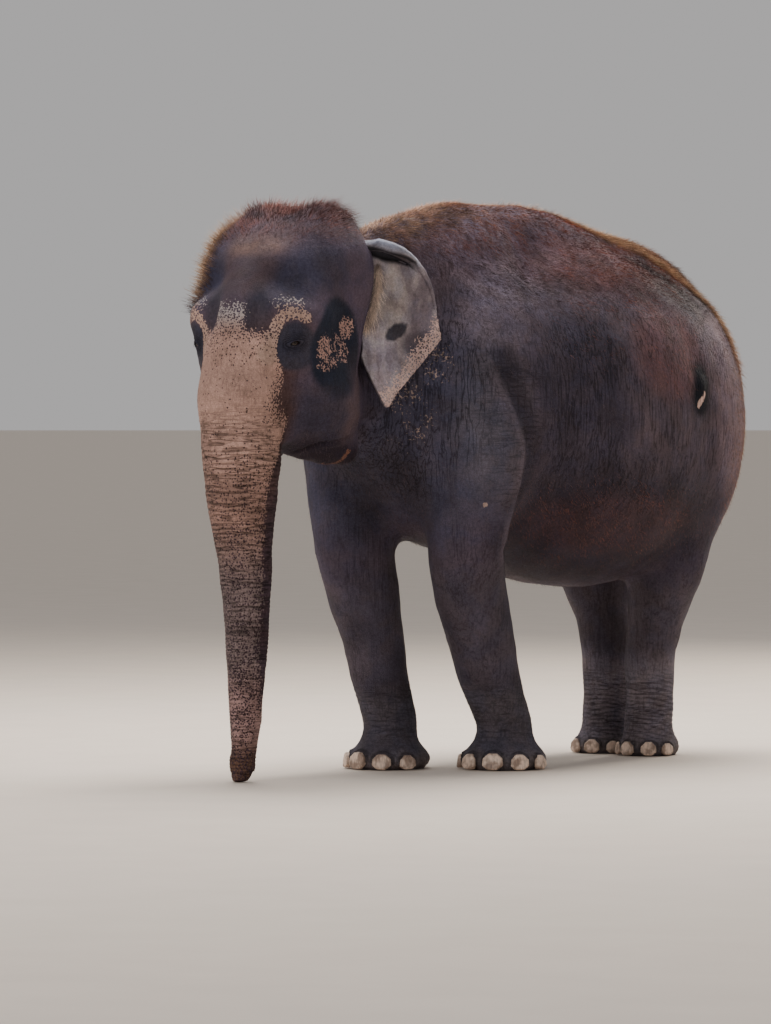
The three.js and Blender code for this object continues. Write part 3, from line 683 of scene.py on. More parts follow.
def make_ear(side):
    ear = plain_copy(f"{side}_ear", [f"ear_{side}"])
    finish_with(ear, "REMESH", mode="VOXEL", voxel_size=EAR_VOXEL)
    smooth_evenly(ear, 5)
    at = points_of(ear)
    chart = on_chart(at, side)
    above = above_roll(chart)
    thin = 1 - ramp(chart[:, 0], 0.22, 0.30)
    amount = 0.014 * bell(above, 0.004, 0.022) * thin
    amount -= 0.012 * bell(above, -0.036, 0.012) * thin * (outwardness(ear, side) > 0)
    for line in VESSELS:
        distance, _ = off_line(chart, line)
        amount += 0.0016 * bell(distance, 0, 0.006)
    amount += 0.0012 * ripple(at, 0.03, 11)
    push(ear, amount)

    at = points_of(ear)
    loose = ramp(chart[:, 0], 0.08, 0.38)
    sideways = 0.012 * ripple(chart, 0.17, 12) + 0.005 * ripple(chart, 0.06, 13)
    at[:, 0] += sideways * loose
    rooted = (1 - ramp(chart[:, 0], 0.03, 0.11)) * ramp(chart[:, 1], 0.24, 0.32)
    for i in np.flatnonzero(rooted > 0):
        spot, normal, _, distance = hide_tree.find_nearest(Vector(at[i]))
        if distance < 0.05:
            at[i] += rooted[i] * (np.array(spot - 0.007 * normal) - at[i])
    move_points(ear, at)
    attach(ear, "root")
    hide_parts(f"ear_{side}")
    report(ear)
    return ear


hide_tree = tree_of(hide)
ears = {side: make_ear(side) for side in SIDES}

# %% [markdown]
# ## Nails and eyes
#
# Nails are horn: low rounded shields set in the front of the foot, five on each forefoot and four behind,
# worn flat at the bottom. The eyeballs are smooth spheres a little behind the opening of the lids.


# %% Nails
NAIL_VOXEL = 0.0036
FLARE = 0.16
NAIL_FOOT = 0.004
nails = plain_copy("nails", nail_names)
at = points_of(nails)
for name in nail_names:
    low, high = (np.array(corner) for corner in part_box(name))
    own = ((at > low - 0.001) & (at < high + 0.001)).all(axis=1)
    middle = (low + high) / 2
    drop = (high[2] - at[own, 2]) / (high[2] - low[2])
    wider = 1.0 + FLARE * drop
    at[own, :2] = middle[:2] + (at[own, :2] - middle[:2]) * wider[:, None]
    at[own, 2] = high[2] - drop * (high[2] - NAIL_FOOT)
move_points(nails, at)
finish_with(nails, "REMESH", mode="VOXEL", voxel_size=NAIL_VOXEL)
smooth_evenly(nails, 5)
at = points_of(nails)
ridges = 0.0006 * np.sin(2 * np.pi * at[:, 2] / 0.0075 + 2 * ripple(at, 0.05, 14))
push(nails, ridges + 0.0013 * ripple(at, 0.018, 15))
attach(nails, "root")
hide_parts(*nail_names)
report(nails)

# %% Eyes
eyeballs = []
for side in SIDES:
    bpy.ops.mesh.primitive_uv_sphere_add(segments=72, ring_count=40, radius=EYE_RADIUS,
                                         location=eye_at[side])
    ball = bpy.context.active_object
    bpy.ops.object.transform_apply(location=True)
    out = eye_axes(side)[0]
    gaze = (points_of(ball) - np.array(eye_at[side])) @ out / EYE_RADIUS
    keep_numbers(ball, "gaze", gaze)
    push(ball, 0.0012 * ramp(gaze, 0.80, 0.95))
    eyeballs.append(ball)
eyes = joined(eyeballs)
eyes.name = "eyes"
while eyes.data.uv_layers:
    eyes.data.uv_layers.remove(eyes.data.uv_layers[0])
bpy.ops.object.shade_smooth()
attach(eyes, "root")
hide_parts("eye_left", "eye_right")
report(eyes)

# %% [markdown]
# ## Tones and markings
#
# Her hide is a dark grey-brown, bluer where it is bare and browner where hair grows. On the trunk, round
# the eyes, on the temples and along the ears' lower edge the pigment has faded with age, and pink skin
# shows between dark freckles. Each point of the hide carries two tones, one with pigment and one without,
# and a share that says how far the pigment has gone. The finish turns that share into freckles.

# %% Tones
def linear(hex_colour):
    channels = np.array([int(hex_colour[i : i + 2], 16) / 255 for i in (1, 3, 5)])
    return np.where(channels <= 0.04045, channels / 12.92, ((channels + 0.055) / 1.055) ** 2.4)


def toned(tone, *coats):
    """A tone with colours laid over it one after the other, each by its own share."""
    for colour, share in coats:
        tone = tone + np.clip(share, 0, 1)[:, None] * (linear(colour) - tone)
    return tone


def even_tone(colour, points):
    return np.tile(linear(colour), (len(points), 1))


HIDE_TONE = "#483d47"
BODY_TONES = [
    # tone, centre on (distance from the middle, y, z), radii, rim, share
    ("#4b4045", (0.50, 0.45, 1.60), (0.35, 0.75, 0.45), 0.35, 0.9),
    ("#322d37", (0.55, 0.05, 1.55), (0.35, 0.28, 0.40), 0.25, 0.8),
    ("#5a4f57", (0.35, -0.42, 1.92), (0.35, 0.24, 0.25), 0.20, 0.8),
    ("#5d4c54", (0.20, -0.10, 2.20), (0.40, 0.55, 0.18), 0.20, 0.8),
    ("#443539", (0.35, 0.60, 2.10), (0.45, 0.60, 0.20), 0.25, 0.8),
    ("#69565a", (0.38, 1.32, 1.65), (0.45, 0.42, 0.58), 0.20, 0.85),
    ("#2c2427", (0.37, 0.92, 2.05), (0.18, 0.30, 0.22), 0.10, 0.85),
    ("#2a252c", (0.40, 0.40, 1.00), (0.60, 0.80, 0.28), 0.25, 0.95),
    ("#5b3d3c", (0.60, 0.62, 1.74), (0.20, 0.26, 0.20), 0.14, 0.60),
    ("#56393a", (0.36, 0.42, 2.12), (0.25, 0.40, 0.14), 0.10, 0.60),
    ("#452f31", (0.50, 0.35, 1.02), (0.30, 0.50, 0.13), 0.10, 0.38),
    ("#6a4c49", (0.36, 1.40, 1.45), (0.35, 0.22, 0.45), 0.14, 0.55),
    ("#3f3b47", (0.25, -0.60, 1.40), (0.45, 0.25, 0.45), 0.20, 0.95),
    ("#4e494f", (0.46, -0.42, 1.45), (0.20, 0.17, 0.32), 0.15, 0.6),
    ("#272329", (0.10, -0.72, 1.10), (0.14, 0.25, 0.30), 0.12, 0.7),
    ("#3d373c", (0.20, -0.20, 0.55), (0.40, 0.50, 0.40), 0.20, 0.7),
    ("#3f393d", (0.20, 1.10, 0.50), (0.40, 0.45, 0.30), 0.20, 0.7),
    ("#695f64", (0.20, 1.10, 0.18), (0.40, 0.45, 0.24), 0.15, 0.9),
    ("#4b454a", (0.20, -0.20, 0.15), (0.40, 0.50, 0.20), 0.12, 0.8),
    ("#655a54", (0.20, 0.40, 0.02), (0.60, 1.50, 0.05), 0.06, 0.6),
]
HEAD_TONES = [
    # tone, centre on the head's frame folded to one side, radii, rim, share
    ("#443638", (0.00, -0.01, 2.06), (0.17, 0.18, 0.20), 0.12, 0.9),
    ("#66504a", (0.02, -0.08, 2.19), (0.13, 0.13, 0.07), 0.06, 0.85),
    ("#2a2833", (0.18, -0.04, 2.04), (0.06, 0.10, 0.07), 0.04, 0.8),
    ("#382b30", (0.03, 0.03, 2.06), (0.08, 0.08, 0.04), 0.04, 0.7),
    ("#2f2b34", (0.30, -0.15, 2.08), (0.07, 0.13, 0.10), 0.07, 0.7),
    ("#5a4a4a", (0.30, -0.29, 1.48), (0.06, 0.09, 0.08), 0.05, 0.8),
    ("#383440", (0.21, -0.04, 2.03), (0.10, 0.15, 0.13), 0.10, 0.8),
    ("#43353b", (0.10, -0.25, 2.28), (0.24, 0.25, 0.12), 0.10, 0.9),
    ("#38353e", (0.105, 0.09, 1.89), (0.05, 0.10, 0.12), 0.05, 0.9),
    ("#322f38", (0.235, 0.02, 1.745), (0.085, 0.10, 0.105), 0.02, 1.0),
    ("#21232d", (0.300, -0.20, 1.745), (0.14, 0.160, 0.208), 0.025, 1.0),
    ("#363039", (0.26, -0.16, 1.46), (0.12, 0.18, 0.13), 0.10, 0.9),
    ("#4b3c3e", (0.25, -0.33, 1.50), (0.12, 0.08, 0.20), 0.08, 0.7),
    # painted shade under the cheek, laid over the lower jaw
    ("#221b23", (0.15, -0.22, 1.29), (0.30, 0.34, 0.085), 0.06, 0.95),
]


def hide_tones(points):
    head_only = ramp(-points[:, 1], 0.78, 0.95)
    tone = even_tone(HIDE_TONE, points)
    for places, whole, patches in ((mirrored(points), 1.0, BODY_TONES),
                                   (face_places(points), head_only, HEAD_TONES)):
        for colour, centre, radii, rim, share in patches:
            tone = toned(tone, (colour, share * whole * oval(places, centre, radii, rim)))
    return tone

# %% [markdown]
# The pale front of the trunk ends at a line down each side, given by height. It starts between the brows,
# where a pale ridge runs up with a dark hollow on each side. A pale band runs round the upper half of each
# eye's dark surround.

# %% Where the pigment has gone
PALE_EDGE_HEIGHT = [0.0, 0.17, 0.33, 0.54, 0.74, 0.98, 1.14, 1.26, 1.38, 1.46, 1.62, 1.80]
PALE_EDGE_AHEAD = [0.03, 0.03, 0.05, 0.105, 0.12, 0.150, 0.155, 0.120, 0.02, 0.00, 0.02, 0.02]
PALE_SHARE_HEIGHT = [0.0, 0.25, 0.50, 0.75, 1.00, 1.20, 1.35, 1.55, 1.68, 1.76, 1.83, 1.90, 1.97]
PALE_SHARE = [0.62, 0.74, 0.62, 0.60, 0.66, 0.76, 0.86, 0.95, 0.90, 0.76, 0.60, 0.46, 0.0]
EYE_BAND = [(0.150, 0.10, 1.72), (0.160, 0.066, 1.736), (0.163, 0.061, 1.804), (0.182, 0.059, 1.858),
            (0.217, 0.054, 1.882), (0.250, 0.032, 1.884), (0.280, 0.000, 1.866)]
TEMPLE_PINK = [((0.304, -0.279, 1.828), (0.07, 0.050, 0.050), 0.66),
               ((0.312, -0.235, 1.755), (0.07, 0.062, 0.078), 0.40),
               ((0.302, -0.116, 1.735), (0.07, 0.048, 0.074), 0.62),
               ((0.302, -0.135, 1.680), (0.07, 0.068, 0.034), 0.46),
               ((0.310, -0.165, 1.735), (0.07, 0.050, 0.062), 0.32),
               ((0.312, -0.165, 1.800), (0.07, 0.050, 0.040), 0.20)]
NECK_FRECKLES = [(0.194, -0.675, 1.559), (0.172, -0.714, 1.538), (0.232, -0.624, 1.456),
                 (0.202, -0.652, 1.415), (0.262, -0.550, 1.72), (0.20, -0.69, 1.62), (0.25, -0.58, 1.64),
                 (0.19, -0.70, 1.34)]
JAW_RIM = [(0.030, -1.05, 1.268), (0.042, -0.99, 1.268), (0.099, -0.986, 1.290), (0.118, -0.982, 1.322)]
EYE_SURROUND = (0.237, 0.02, 1.745)


def near_line(points, line, inner, outer):
    distance, _ = off_line(points, line if len(line) > 1 else line * 2)
    return 1 - ramp(distance, inner, outer)


def pale_share(points):
    _, y, z = points.T
    face = face_places(points)
    across, ahead, height = face.T
    edge = np.interp(height, PALE_EDGE_HEIGHT, PALE_EDGE_AHEAD)
    front = ramp(ahead - edge, -0.035, 0.03) * np.interp(height, PALE_SHARE_HEIGHT, PALE_SHARE)
    front = front * (1 - 0.9 * ramp(height, 1.77, 1.85) * ramp(across, 0.05, 0.085))
    front = front * (1 - ramp(across, 0.165, 0.20) * ramp(height, 1.40, 1.50))
    band = 0.60 * near_line(face, EYE_BAND, 0.012, 0.040)
    surround = oval(face, EYE_SURROUND, (0.070, 0.09, 0.104), 0.014)
    brow = 0.34 * oval(face, (0.215, 0.03, 1.92), (0.085, 0.08, 0.045), 0.05)
    share = np.maximum.reduce([front, band, brow]) * (1 - surround)
    ragged = 0.8 + 0.8 * ripple(points, 0.02, 41)
    for centre, radii, strength in TEMPLE_PINK:
        share = np.maximum(share, strength * ragged * oval(face, centre, radii, 0.03))
    low_trunk = 1 - ramp(z, 0.42, 0.60)
    pink_side = oval(points, (-0.010, -1.417, 0.27), (0.038, 0.038, 0.20), 0.014)
    share = share * (1 - 0.22 * low_trunk) + 0.50 * low_trunk * pink_side
    share = share * ramp(-y, 0.85, 0.95)
    share = share * (1 - 0.4 * ramp(-in_head(points)[:, 0], 0.22, 0.26) * ramp(-ahead, -0.02, 0.06))
    body = mirrored(points)
    freckled = np.max([near_line(body, [place], 0.00, 0.13) for place in NECK_FRECKLES], axis=0)
    freckled = 0.29 * freckled * (1 + 0.6 * ripple(points, 0.06, 42))
    jaw = 0.75 * near_line(body, JAW_RIM, 0.006, 0.028)
    elbow = 1.5 * near_line(body, ELBOW_MARK, 0.004, 0.013)
    sore = 1.5 * near_line(points + 0.012 * ripple(points, 0.02, 44)[:, None], HIP_SORE, 0.005, 0.020)
    return np.maximum.reduce([share, freckled, jaw, elbow, sore])


def bare_tones(points):
    _, y, z = points.T
    face = face_places(points)
    return toned(even_tone("#b59386", points),
                 ("#aea4a2", ramp(z, 1.80, 1.90) * ramp(-y, 1.2, 1.4)),
                 ("#b3978a", near_line(face, EYE_BAND, 0.03, 0.06)),
                 ("#997a6f", 1 - ramp(z, 1.15, 1.35)),
                 ("#80706f", 1 - ramp(z, 0.75, 1.10)),
                 ("#a98a86", 1 - ramp(z, 0.30, 0.50)),
                 ("#6a5045", 1 - ramp(z, 0.08, 0.22)),
                 ("#b28f85", oval(face, (0.30, -0.20, 1.75), (0.1, 0.15, 0.15), 0.05)),
                 ("#7a5648", near_line(mirrored(points), JAW_RIM, 0.06, 0.09)),
                 ("#a18c83", ramp(y, -0.90, -0.80)),
                 ("#dbb9ac", near_line(points, HIP_SORE, 0.02, 0.04)))


# %% Numbers the finish reads
at = points_of(hide)
x, y, z = at.T
body = mirrored(at)
# A painted shadow darkens the hide just behind the shoulder's edge, and a painted highlight lightens it in
# front.
shadow_line_behind_shoulder = [(a, b + 0.055, c) for a, b, c in shoulder_edge]
highlight_line_before_shoulder = [(a, b - 0.035, c) for a, b, c in shoulder_edge]
hip = near_line(at, [(0.603, 0.825, 1.63), (0.612, 0.80, 1.54)], 0.045, 0.095)
tone = toned(hide_tones(at), ("#0d0e16", hip),
             ("#28232b", 0.75 * near_line(body, shadow_line_behind_shoulder, 0.015, 0.085)),
             ("#5c5058", 0.45 * near_line(body, highlight_line_before_shoulder, 0.01, 0.05)))
on_lid_area = oval(face_places(at), EYE_SURROUND, (0.075, 0.09, 0.11), 0.02)
# Under the coat on the back the hide is painted darker, as painted shade under the hair.
shade_under_hair = ramp(y, -0.85, -0.60) * ramp(z, 1.84, 2.12) * ramp(normals_of(hide)[:, 2], 0.0, 0.5)
tone = tone * (1 - 0.15 * shade_under_hair)[:, None]
trunk_front = ramp(-y, 1.30, 1.38) * (1 - ramp(z, 1.75, 1.95))
tone = toned(tone, ("#43302c", 0.8 * trunk_front * (1 - on_lid_area)),
             ("#3b2d33", 0.8 * on_trunk * (1 - ramp(z, 0.85, 1.20))))
bare = pale_share(at)
# The stored groove darkens the finish as painted shade: in the trunk's rings, the rings at wrists and
# ankles, the deep folds, the mouth and the lids' creases. The cuticles are darkened by it too.
ring_groove_shade = on_trunk * grooves(trunk_phase, TRUNK_GROOVE) * np.clip(0.7 + 0.9 * ripple(at, 0.05, 6), 0, 1)
leg_groove_shade = np.clip(leg_rings * grooves(leg_phase, LEG_GROOVE), 0, 1)
fold_shade = np.clip(-fold_push / FOLD_DEPTH - 0.3, 0, 0.7)
groove = np.maximum.reduce([ring_groove_shade, 0.8 * leg_groove_shade, np.minimum(mouth, 1), 0.8 * lid_crease_shade,
                            fold_shade, cuticle])
low_face = ramp(-y, 0.9, 1.0) * (1 - ramp(z, 1.70, 1.95)) * (1 - on_trunk)
streaked = np.maximum.reduce([0.9 * oval(body, (0.45, 0.55, 1.55), (0.35, 0.95, 0.62), 0.3),
                              0.9 * oval(at, (0, -0.62, 1.7), (0.6, 0.38, 0.6), 0.2),
                              0.35 * low_face, 0.5 * (1 - ramp(z, 0.95, 1.15))])
creased = np.maximum.reduce([0.6 * oval(body, (0.40, -0.30, 1.42), (0.25, 0.20, 0.42), 0.16),
                             0.95 * on_trunk, 0.8 * on_ankles * on_hind, 0.6 * on_wrists])


def keep_skin(piece, *values):
    for name, value in zip(("hide_tone", "bare_tone", "bare", "groove", "streaked", "creased"), values):
        keep_numbers(piece, name, value)


keep_skin(hide, tone, bare_tones(at), bare, groove, streaked, creased)
print("points with pigment gone:", int((bare > 0.3).sum()), "of", len(at))

# %% The ears' markings
BAND_LINE = stations((0.415, 0.345), (0.403, 0.300), (0.353, 0.256), (0.268, 0.153), (0.203, 0.079),
                     (0.135, 0.021))
SPOT_TILT = math.radians(24)
for side, ear in ears.items():
    at = points_of(ear)
    chart = on_chart(at, side)
    back = chart[:, 0]
    facing_out = ramp(outwardness(ear, side), -0.1, 0.3)
    above = above_roll(chart)
    rolled = (1 - ramp(back, 0.24, 0.30)) * facing_out
    streaky = chart * np.array([1, 0.35, 1]) + 0.5 * at[:, :1] * np.array([0, 0, 1])
    mottle = 1.1 * ripple(streaky, 0.030, 31) + 0.9 * ripple(at, 0.055, 32)
    spot = chart - np.array([0.195, 0.308, 0])
    along = spot[:, 0] * math.cos(SPOT_TILT) + spot[:, 1] * math.sin(SPOT_TILT)
    across = spot[:, 1] * math.cos(SPOT_TILT) - spot[:, 0] * math.sin(SPOT_TILT)
    dark_spot = 1 - ramp(np.hypot(along / 0.064, across / 0.033) + 0.16 * ripple(at, 0.02, 33), 0.75, 1.1)
    # A painted shadow lies under the rolled top edge, on the ear's outer face.
    shadow_under_roll = 0.95 * rolled * ramp(above, -0.046, -0.036) * ramp(-above, 0.004, 0.016)
    ear_tone = toned(even_tone("#7a7073", at),
                     ("#857a76", 0.8 * oval(chart, (0.15, 0.42, 0), (0.10, 0.16, 1), 0.1)),
                     ("#85797e", 0.8 * oval(chart, (0.12, 0.16, 0), (0.06, 0.14, 1), 0.08)),
                     ("#5f545b", 0.8 * oval(chart, (0.32, 0.38, 0), (0.06, 0.14, 1), 0.08)),
                     ("#3a363e", 0.95 * oval(chart, (0.30, 0.255, 0), (0.07, 0.05, 1), 0.05)),
                     ("#554a4f", 0.45 * ramp(mottle, 0.10, 0.55)),
                     ("#9a8f8c", 0.45 * ramp(-mottle, 0.20, 0.75)),
                     # painted highlight along the upper side of the roll
                     ("#85848e", 0.95 * rolled * ramp(above, -0.016, 0.004)),
                     ("#17181f", shadow_under_roll),
                     ("#2c2a31", 0.95 * dark_spot * facing_out),
                     ("#4a4247", 0.8 * (1 - facing_out)))
    off_band, _ = off_line(chart, BAND_LINE)
    ear_bare = (0.26 + 0.34 * (1 - ramp(off_band, 0.02, 0.05))) * (1 - ramp(off_band, 0.05, 0.095))
    shadow_line = bell(above, -0.038, 0.012) * rolled
    nothing = np.zeros(len(at))
    keep_skin(ear, ear_tone, even_tone("#c9ada6", at), ear_bare * facing_out, 1.2 * shadow_line,
              nothing, nothing)

# %% [markdown]
# ## Finishes
#
# Real elephant hide is dry and matt. Its outer layer is cracked like dried mud into plates about 7 mm
# across, with deeper creases over them. Where pigment is gone, freckles some 6 mm wide stay behind, about
# 9 mm apart, and they grow together where more pigment is left.


# %% One node at a time
class Finish:
    """A material, and a method for each kind of step that its colour and gloss are reckoned in."""

    def __init__(self, name, roughness, **inputs):
        self.material = bpy.data.materials.new(name)
        self.material.use_nodes = True
        self.tree = self.material.node_tree
        self.shader = self.tree.nodes["Principled BSDF"]
        self.feed(self.shader, {"Roughness": roughness, **inputs})

    def feed(self, node, inputs):
        for key, value in inputs.items():
            if isinstance(value, bpy.types.NodeSocket):
                self.tree.links.new(value, node.inputs[key])
            else:
                node.inputs[key].default_value = value

    def add(self, kind, inputs=None, **settings):
        node = self.tree.nodes.new("ShaderNode" + kind)
        for key, value in settings.items():
            setattr(node, key, value)
        self.feed(node, inputs or {})
        return node.outputs

    def place(self):
        return self.add("TexCoord")["Object"]

    def stored(self, name, output="Fac"):
        return self.add("Attribute", attribute_name=name)[output]

    def reckon(self, operation, *values):
        return self.add("Math", dict(enumerate(values)), operation=operation)[0]

    def product(self, first, *others):
        for other in others:
            first = self.reckon("MULTIPLY", first, other)
        return first

    def scaled(self, value, factor, plus):
        return self.reckon("MULTIPLY_ADD", value, factor, plus)

    def spread(self, value, start, end, low=0.0, high=1.0):
        inputs = {"Value": value, "From Min": start, "From Max": end, "To Min": low, "To Max": high}
        return self.add("MapRange", inputs, interpolation_type="SMOOTHSTEP")[0]

    def mixed(self, share, first, second, blend="MIX"):
        inputs = {0: share, 6: first, 7: second}
        return self.add("Mix", inputs, data_type="RGBA", blend_type=blend)[2]

    def shaded(self, colour, factor):
        grey = self.add("CombineColor", {0: factor, 1: factor, 2: factor})[0]
        return self.mixed(1.0, colour, grey, "MULTIPLY")

    def noise(self, place, scale, detail=2.0):
        return self.add("TexNoise", {"Vector": place, "Scale": scale, "Detail": detail}, normalize=True)[0]

    def bumped(self, height, distance, strength):
        return self.add("Bump", {"Height": height, "Distance": distance, "Strength": strength})[0]

    def wrinkles(self, place, scale, turn, width):
        """Thin lines, one where the stretched noise crosses its middle."""
        stretched = self.add("Mapping", {"Vector": place, "Scale": scale, "Rotation": turn})[0]
        off_middle = self.reckon("SUBTRACT", self.noise(stretched, 1.0), 0.5)
        return self.spread(self.reckon("ABSOLUTE", off_middle), 0.0, width, 1.0, 0.0)


def opaque(hex_colour):
    return (*linear(hex_colour), 1)

# %% [markdown]
# The freckles come first. In each cell a random number decides how much pigment has to be left before its
# freckle is drawn. A low, broad noise keeps the edge of the pale skin from following the stored shares too
# neatly.

# %% Freckles of the hide
FRECKLE_CELL = 0.0090
PLATE = 0.0072
skin = Finish("dry_hide", 0.68, **{"Specular IOR Level": 0.10})
place = skin.place()
wander = skin.add("TexNoise", {"Vector": place, "Scale": 70.0, "Detail": 1.0})["Color"]
shift = {0: wander, 1: (0.005, 0.005, 0.005), 2: place}
strayed = skin.add("VectorMath", shift, operation="MULTIPLY_ADD")[0]
cells = skin.add("TexVoronoi", {"Vector": strayed, "Scale": 1 / FRECKLE_CELL, "Randomness": 0.9})
lot = skin.add("SeparateColor", {0: cells["Color"]})[0]
gone = skin.product(skin.stored("bare"), skin.scaled(skin.noise(place, 22.0), 0.5, 0.75))
kept = skin.reckon("SUBTRACT", 1.0, gone)
drawn = skin.spread(skin.product(kept, 3.3), lot, skin.reckon("ADD", lot, 0.3))
merged = skin.reckon("MAXIMUM", skin.scaled(kept, 0.5, -0.20), 0.0)
merged = skin.scaled(skin.reckon("POWER", kept, 6.0), 0.75, merged)
radius = skin.scaled(drawn, 0.40, merged)
inner = skin.reckon("SUBTRACT", radius, 0.07)
outer = skin.reckon("ADD", radius, 0.07)
freckle = skin.spread(cells["Distance"], inner, outer, 1.0, 0.0)

# %% [markdown]
# Then come creases and cracks. A wrinkle is a thin line, so it is drawn where a stretched noise crosses its
# middle value. On the flank and neck the wrinkles hang upright, some 10 mm apart. Behind the shoulder, on
# the trunk and at the ankles they run level. Dust lies on the plates, and the cracks are darker. The
# wrinkles and the stored grooves are painted darker, as painted shade in them, and where hair grows the
# hide is browner than where it is bare and blue.

# %% Creases and cracks of the hide
hanging = skin.wrinkles(place, (50.0, 50.0, 3.0), (0.0, 0.0, 0.0), 0.055)
level = skin.wrinkles(place, (5.5, 5.5, 48.0), (0.16, 0.06, 0.0), 0.050)
patches = skin.spread(skin.noise(place, 5.0), 0.32, 0.55, 0.35, 1.0)
hanging_crease = skin.product(hanging, skin.stored("streaked"), patches)
crease = skin.reckon("MAXIMUM", hanging_crease, skin.product(level, skin.stored("creased")))
plates = {"Vector": strayed, "Scale": 1 / PLATE, "Randomness": 1.0}
plate_edge = skin.add("TexVoronoi", plates, feature="DISTANCE_TO_EDGE")["Distance"]
crack = skin.spread(plate_edge, 0.0, 0.16, 1.0, 0.0)
browner = skin.spread(skin.noise(place, 11.0, 5.0), 0.40, 0.60)
cast = skin.mixed(browner, (1.30, 1.43, 1.60, 1), (1.45, 1.50, 1.52, 1))
pigmented = skin.mixed(1.0, skin.stored("hide_tone", "Color"), cast, "MULTIPLY")
tint = skin.mixed(freckle, skin.stored("bare_tone", "Color"), pigmented)
blotch = skin.scaled(skin.noise(place, 7.0, 5.0), 1.3, 0.40)
plate_dust = skin.scaled(skin.noise(place, 90.0, 3.0), 0.9, 0.55)
# The stored grooves and the wrinkles darken the colour as painted shade, and the cracks darken it too.
crease_shade_and_cracks = [skin.scaled(line, depth, 1.0) for line, depth in ((skin.stored("groove"), -0.62),
                                                                (crease, -0.60), (crack, -0.22))]
height = skin.scaled(crack, -0.35, skin.product(crease, -1.0))
height = skin.scaled(skin.noise(place, 45.0, 3.0), 1.0, height)
skin.feed(skin.shader, {"Base Color": skin.shaded(tint, skin.product(blotch, plate_dust, *crease_shade_and_cracks)),
                        "Normal": skin.bumped(height, 0.0032, 1.0)})

# %% [markdown]
# Horn is pale, and stained a darker brown in places, with a grain that runs up and down. The eye has an
# amber-brown iris round a black pupil, and the white beside it is dark brown in an elephant. Hair carries
# its own tone for each tuft.

# %% Horn, eye and hair
horn = Finish("horn", 0.5)
place = horn.place()
grain = horn.noise(horn.add("Mapping", {"Vector": place, "Scale": (150.0, 150.0, 18.0)})[0], 1.0, 3.0)
stained = horn.spread(horn.noise(place, 26.0, 3.0), 0.40, 0.62)
horn_tone = horn.mixed(stained, opaque("#e6ccb8"), opaque("#9c8474"))
horn.feed(horn.shader, {"Base Color": horn.shaded(horn_tone, horn.spread(grain, 0.3, 0.7, 0.72, 1.12)),
                        "Normal": horn.bumped(grain, 0.0006, 0.8)})

IRIS_RADIUS = 0.0115
PUPIL_RADIUS = 0.0042
eye = Finish("eye", 0.08, **{"Coat Weight": 1.0, "Coat Roughness": 0.03})
eye.feed(eye.shader, {"Base Color": eye.add("ValToRGB", {"Fac": eye.stored("gaze")})[0]})


def gaze_at(radius):
    return math.sqrt(1 - (radius / EYE_RADIUS) ** 2)


stops = eye.shader.inputs["Base Color"].links[0].from_node.color_ramp.elements
stops[0].position = 0.0
stops[0].color = opaque("#1a1210")
stops[1].position = gaze_at(PUPIL_RADIUS) + 0.002
stops[1].color = opaque("#050404")
for radius, colour in ((IRIS_RADIUS + 0.0012, "#160f0c"), (IRIS_RADIUS - 0.0008, "#26150b"),
                       (0.008, "#3a2213"), (PUPIL_RADIUS + 0.0006, "#2f1a0d")):
    stops.new(gaze_at(radius)).color = opaque(colour)

hair = Finish("hair", 0.62, **{"Specular IOR Level": 0.12})
hair.feed(hair.shader, {"Base Color": hair.stored("hair_tone", "Color")})


def wear(piece, finish):
    piece.data.materials.clear()
    piece.data.materials.append(finish.material)
    only(piece)
    bpy.ops.object.shade_smooth()


for piece, finish in ((hide, skin), *((ear, skin) for ear in ears.values()), (nails, horn), (eyes, eye)):
    wear(piece, finish)
print("finishes", [finish.material.name for finish in (skin, horn, eye, hair)])

# %% [markdown]
# ## The coat
#
# An elephant's hair is sparse and stiff. On her crown, nape, back and rump it is dense enough to make a
# fringe, on the flanks it lies flat and tints the hide, and on the legs and face there are only short
# bristles. It is made of solid tufts: thin three-sided spikes with their roots sunk in the hide, which bend
# a little on their way to a point. Each tuft stands at a random place, drawn more often where the coat is
# dense. It also gets a tiny patch of its own on the map OFBake, at its root's place on an unwrap of the
# hide.

# %% Unwrap of the hide
UNWRAP = "OFBake"
PATCH = 0.003
LAST_PATCH = 0.996
hide.data.uv_layers.new(name=UNWRAP)
with editing(hide):
    bpy.ops.mesh.select_all(action="SELECT")
    bpy.ops.uv.smart_project(angle_limit=math.radians(66), island_margin=0.004)

# %% Drawing the roots
def soil_of(piece):
    """A piece's triangles with the place, normal and unwrap of each corner."""
    piece.data.calc_loop_triangles()
    triangles = piece.data.loop_triangles
    corners = numbers_of(triangles, "vertices", 3, np.int32)
    loops = numbers_of(triangles, "loops", 3, np.int32)
    unwrap = numbers_of(piece.data.uv_layers[UNWRAP].data, "uv", 2)
    places = points_of(piece)[corners]
    sides = places[:, 1:] - places[:, :1]
    area = np.linalg.norm(np.cross(sides[:, 0], sides[:, 1]), axis=1) / 2
    return {"corners": corners, "places": places, "normals": normals_of(piece)[corners],
            "unwrap": unwrap[loops], "area": area}


def draw_roots(soil, density, count):
    """Root places, normals and unwrap, drawn in step with each vertex's density."""
    chance = soil["area"] * density[soil["corners"]].mean(axis=1)
    picked = rng.choice(len(chance), count, p=chance / chance.sum())
    first, second = rng.random((2, count))
    turned = first + second > 1
    first[turned], second[turned] = 1 - first[turned], 1 - second[turned]
    shares = np.column_stack([1 - first - second, first, second])[:, :, None]
    roots, normals, unwrap = ((soil[key][picked] * shares).sum(axis=1)
                              for key in ("places", "normals", "unwrap"))
    return roots, normals / np.linalg.norm(normals, axis=1)[:, None], np.clip(unwrap, 0, LAST_PATCH)


soil = soil_of(hide)
hide.data.uv_layers.remove(hide.data.uv_layers[UNWRAP])
print("hide area", round(float(soil["area"].sum()), 2), "square metres")

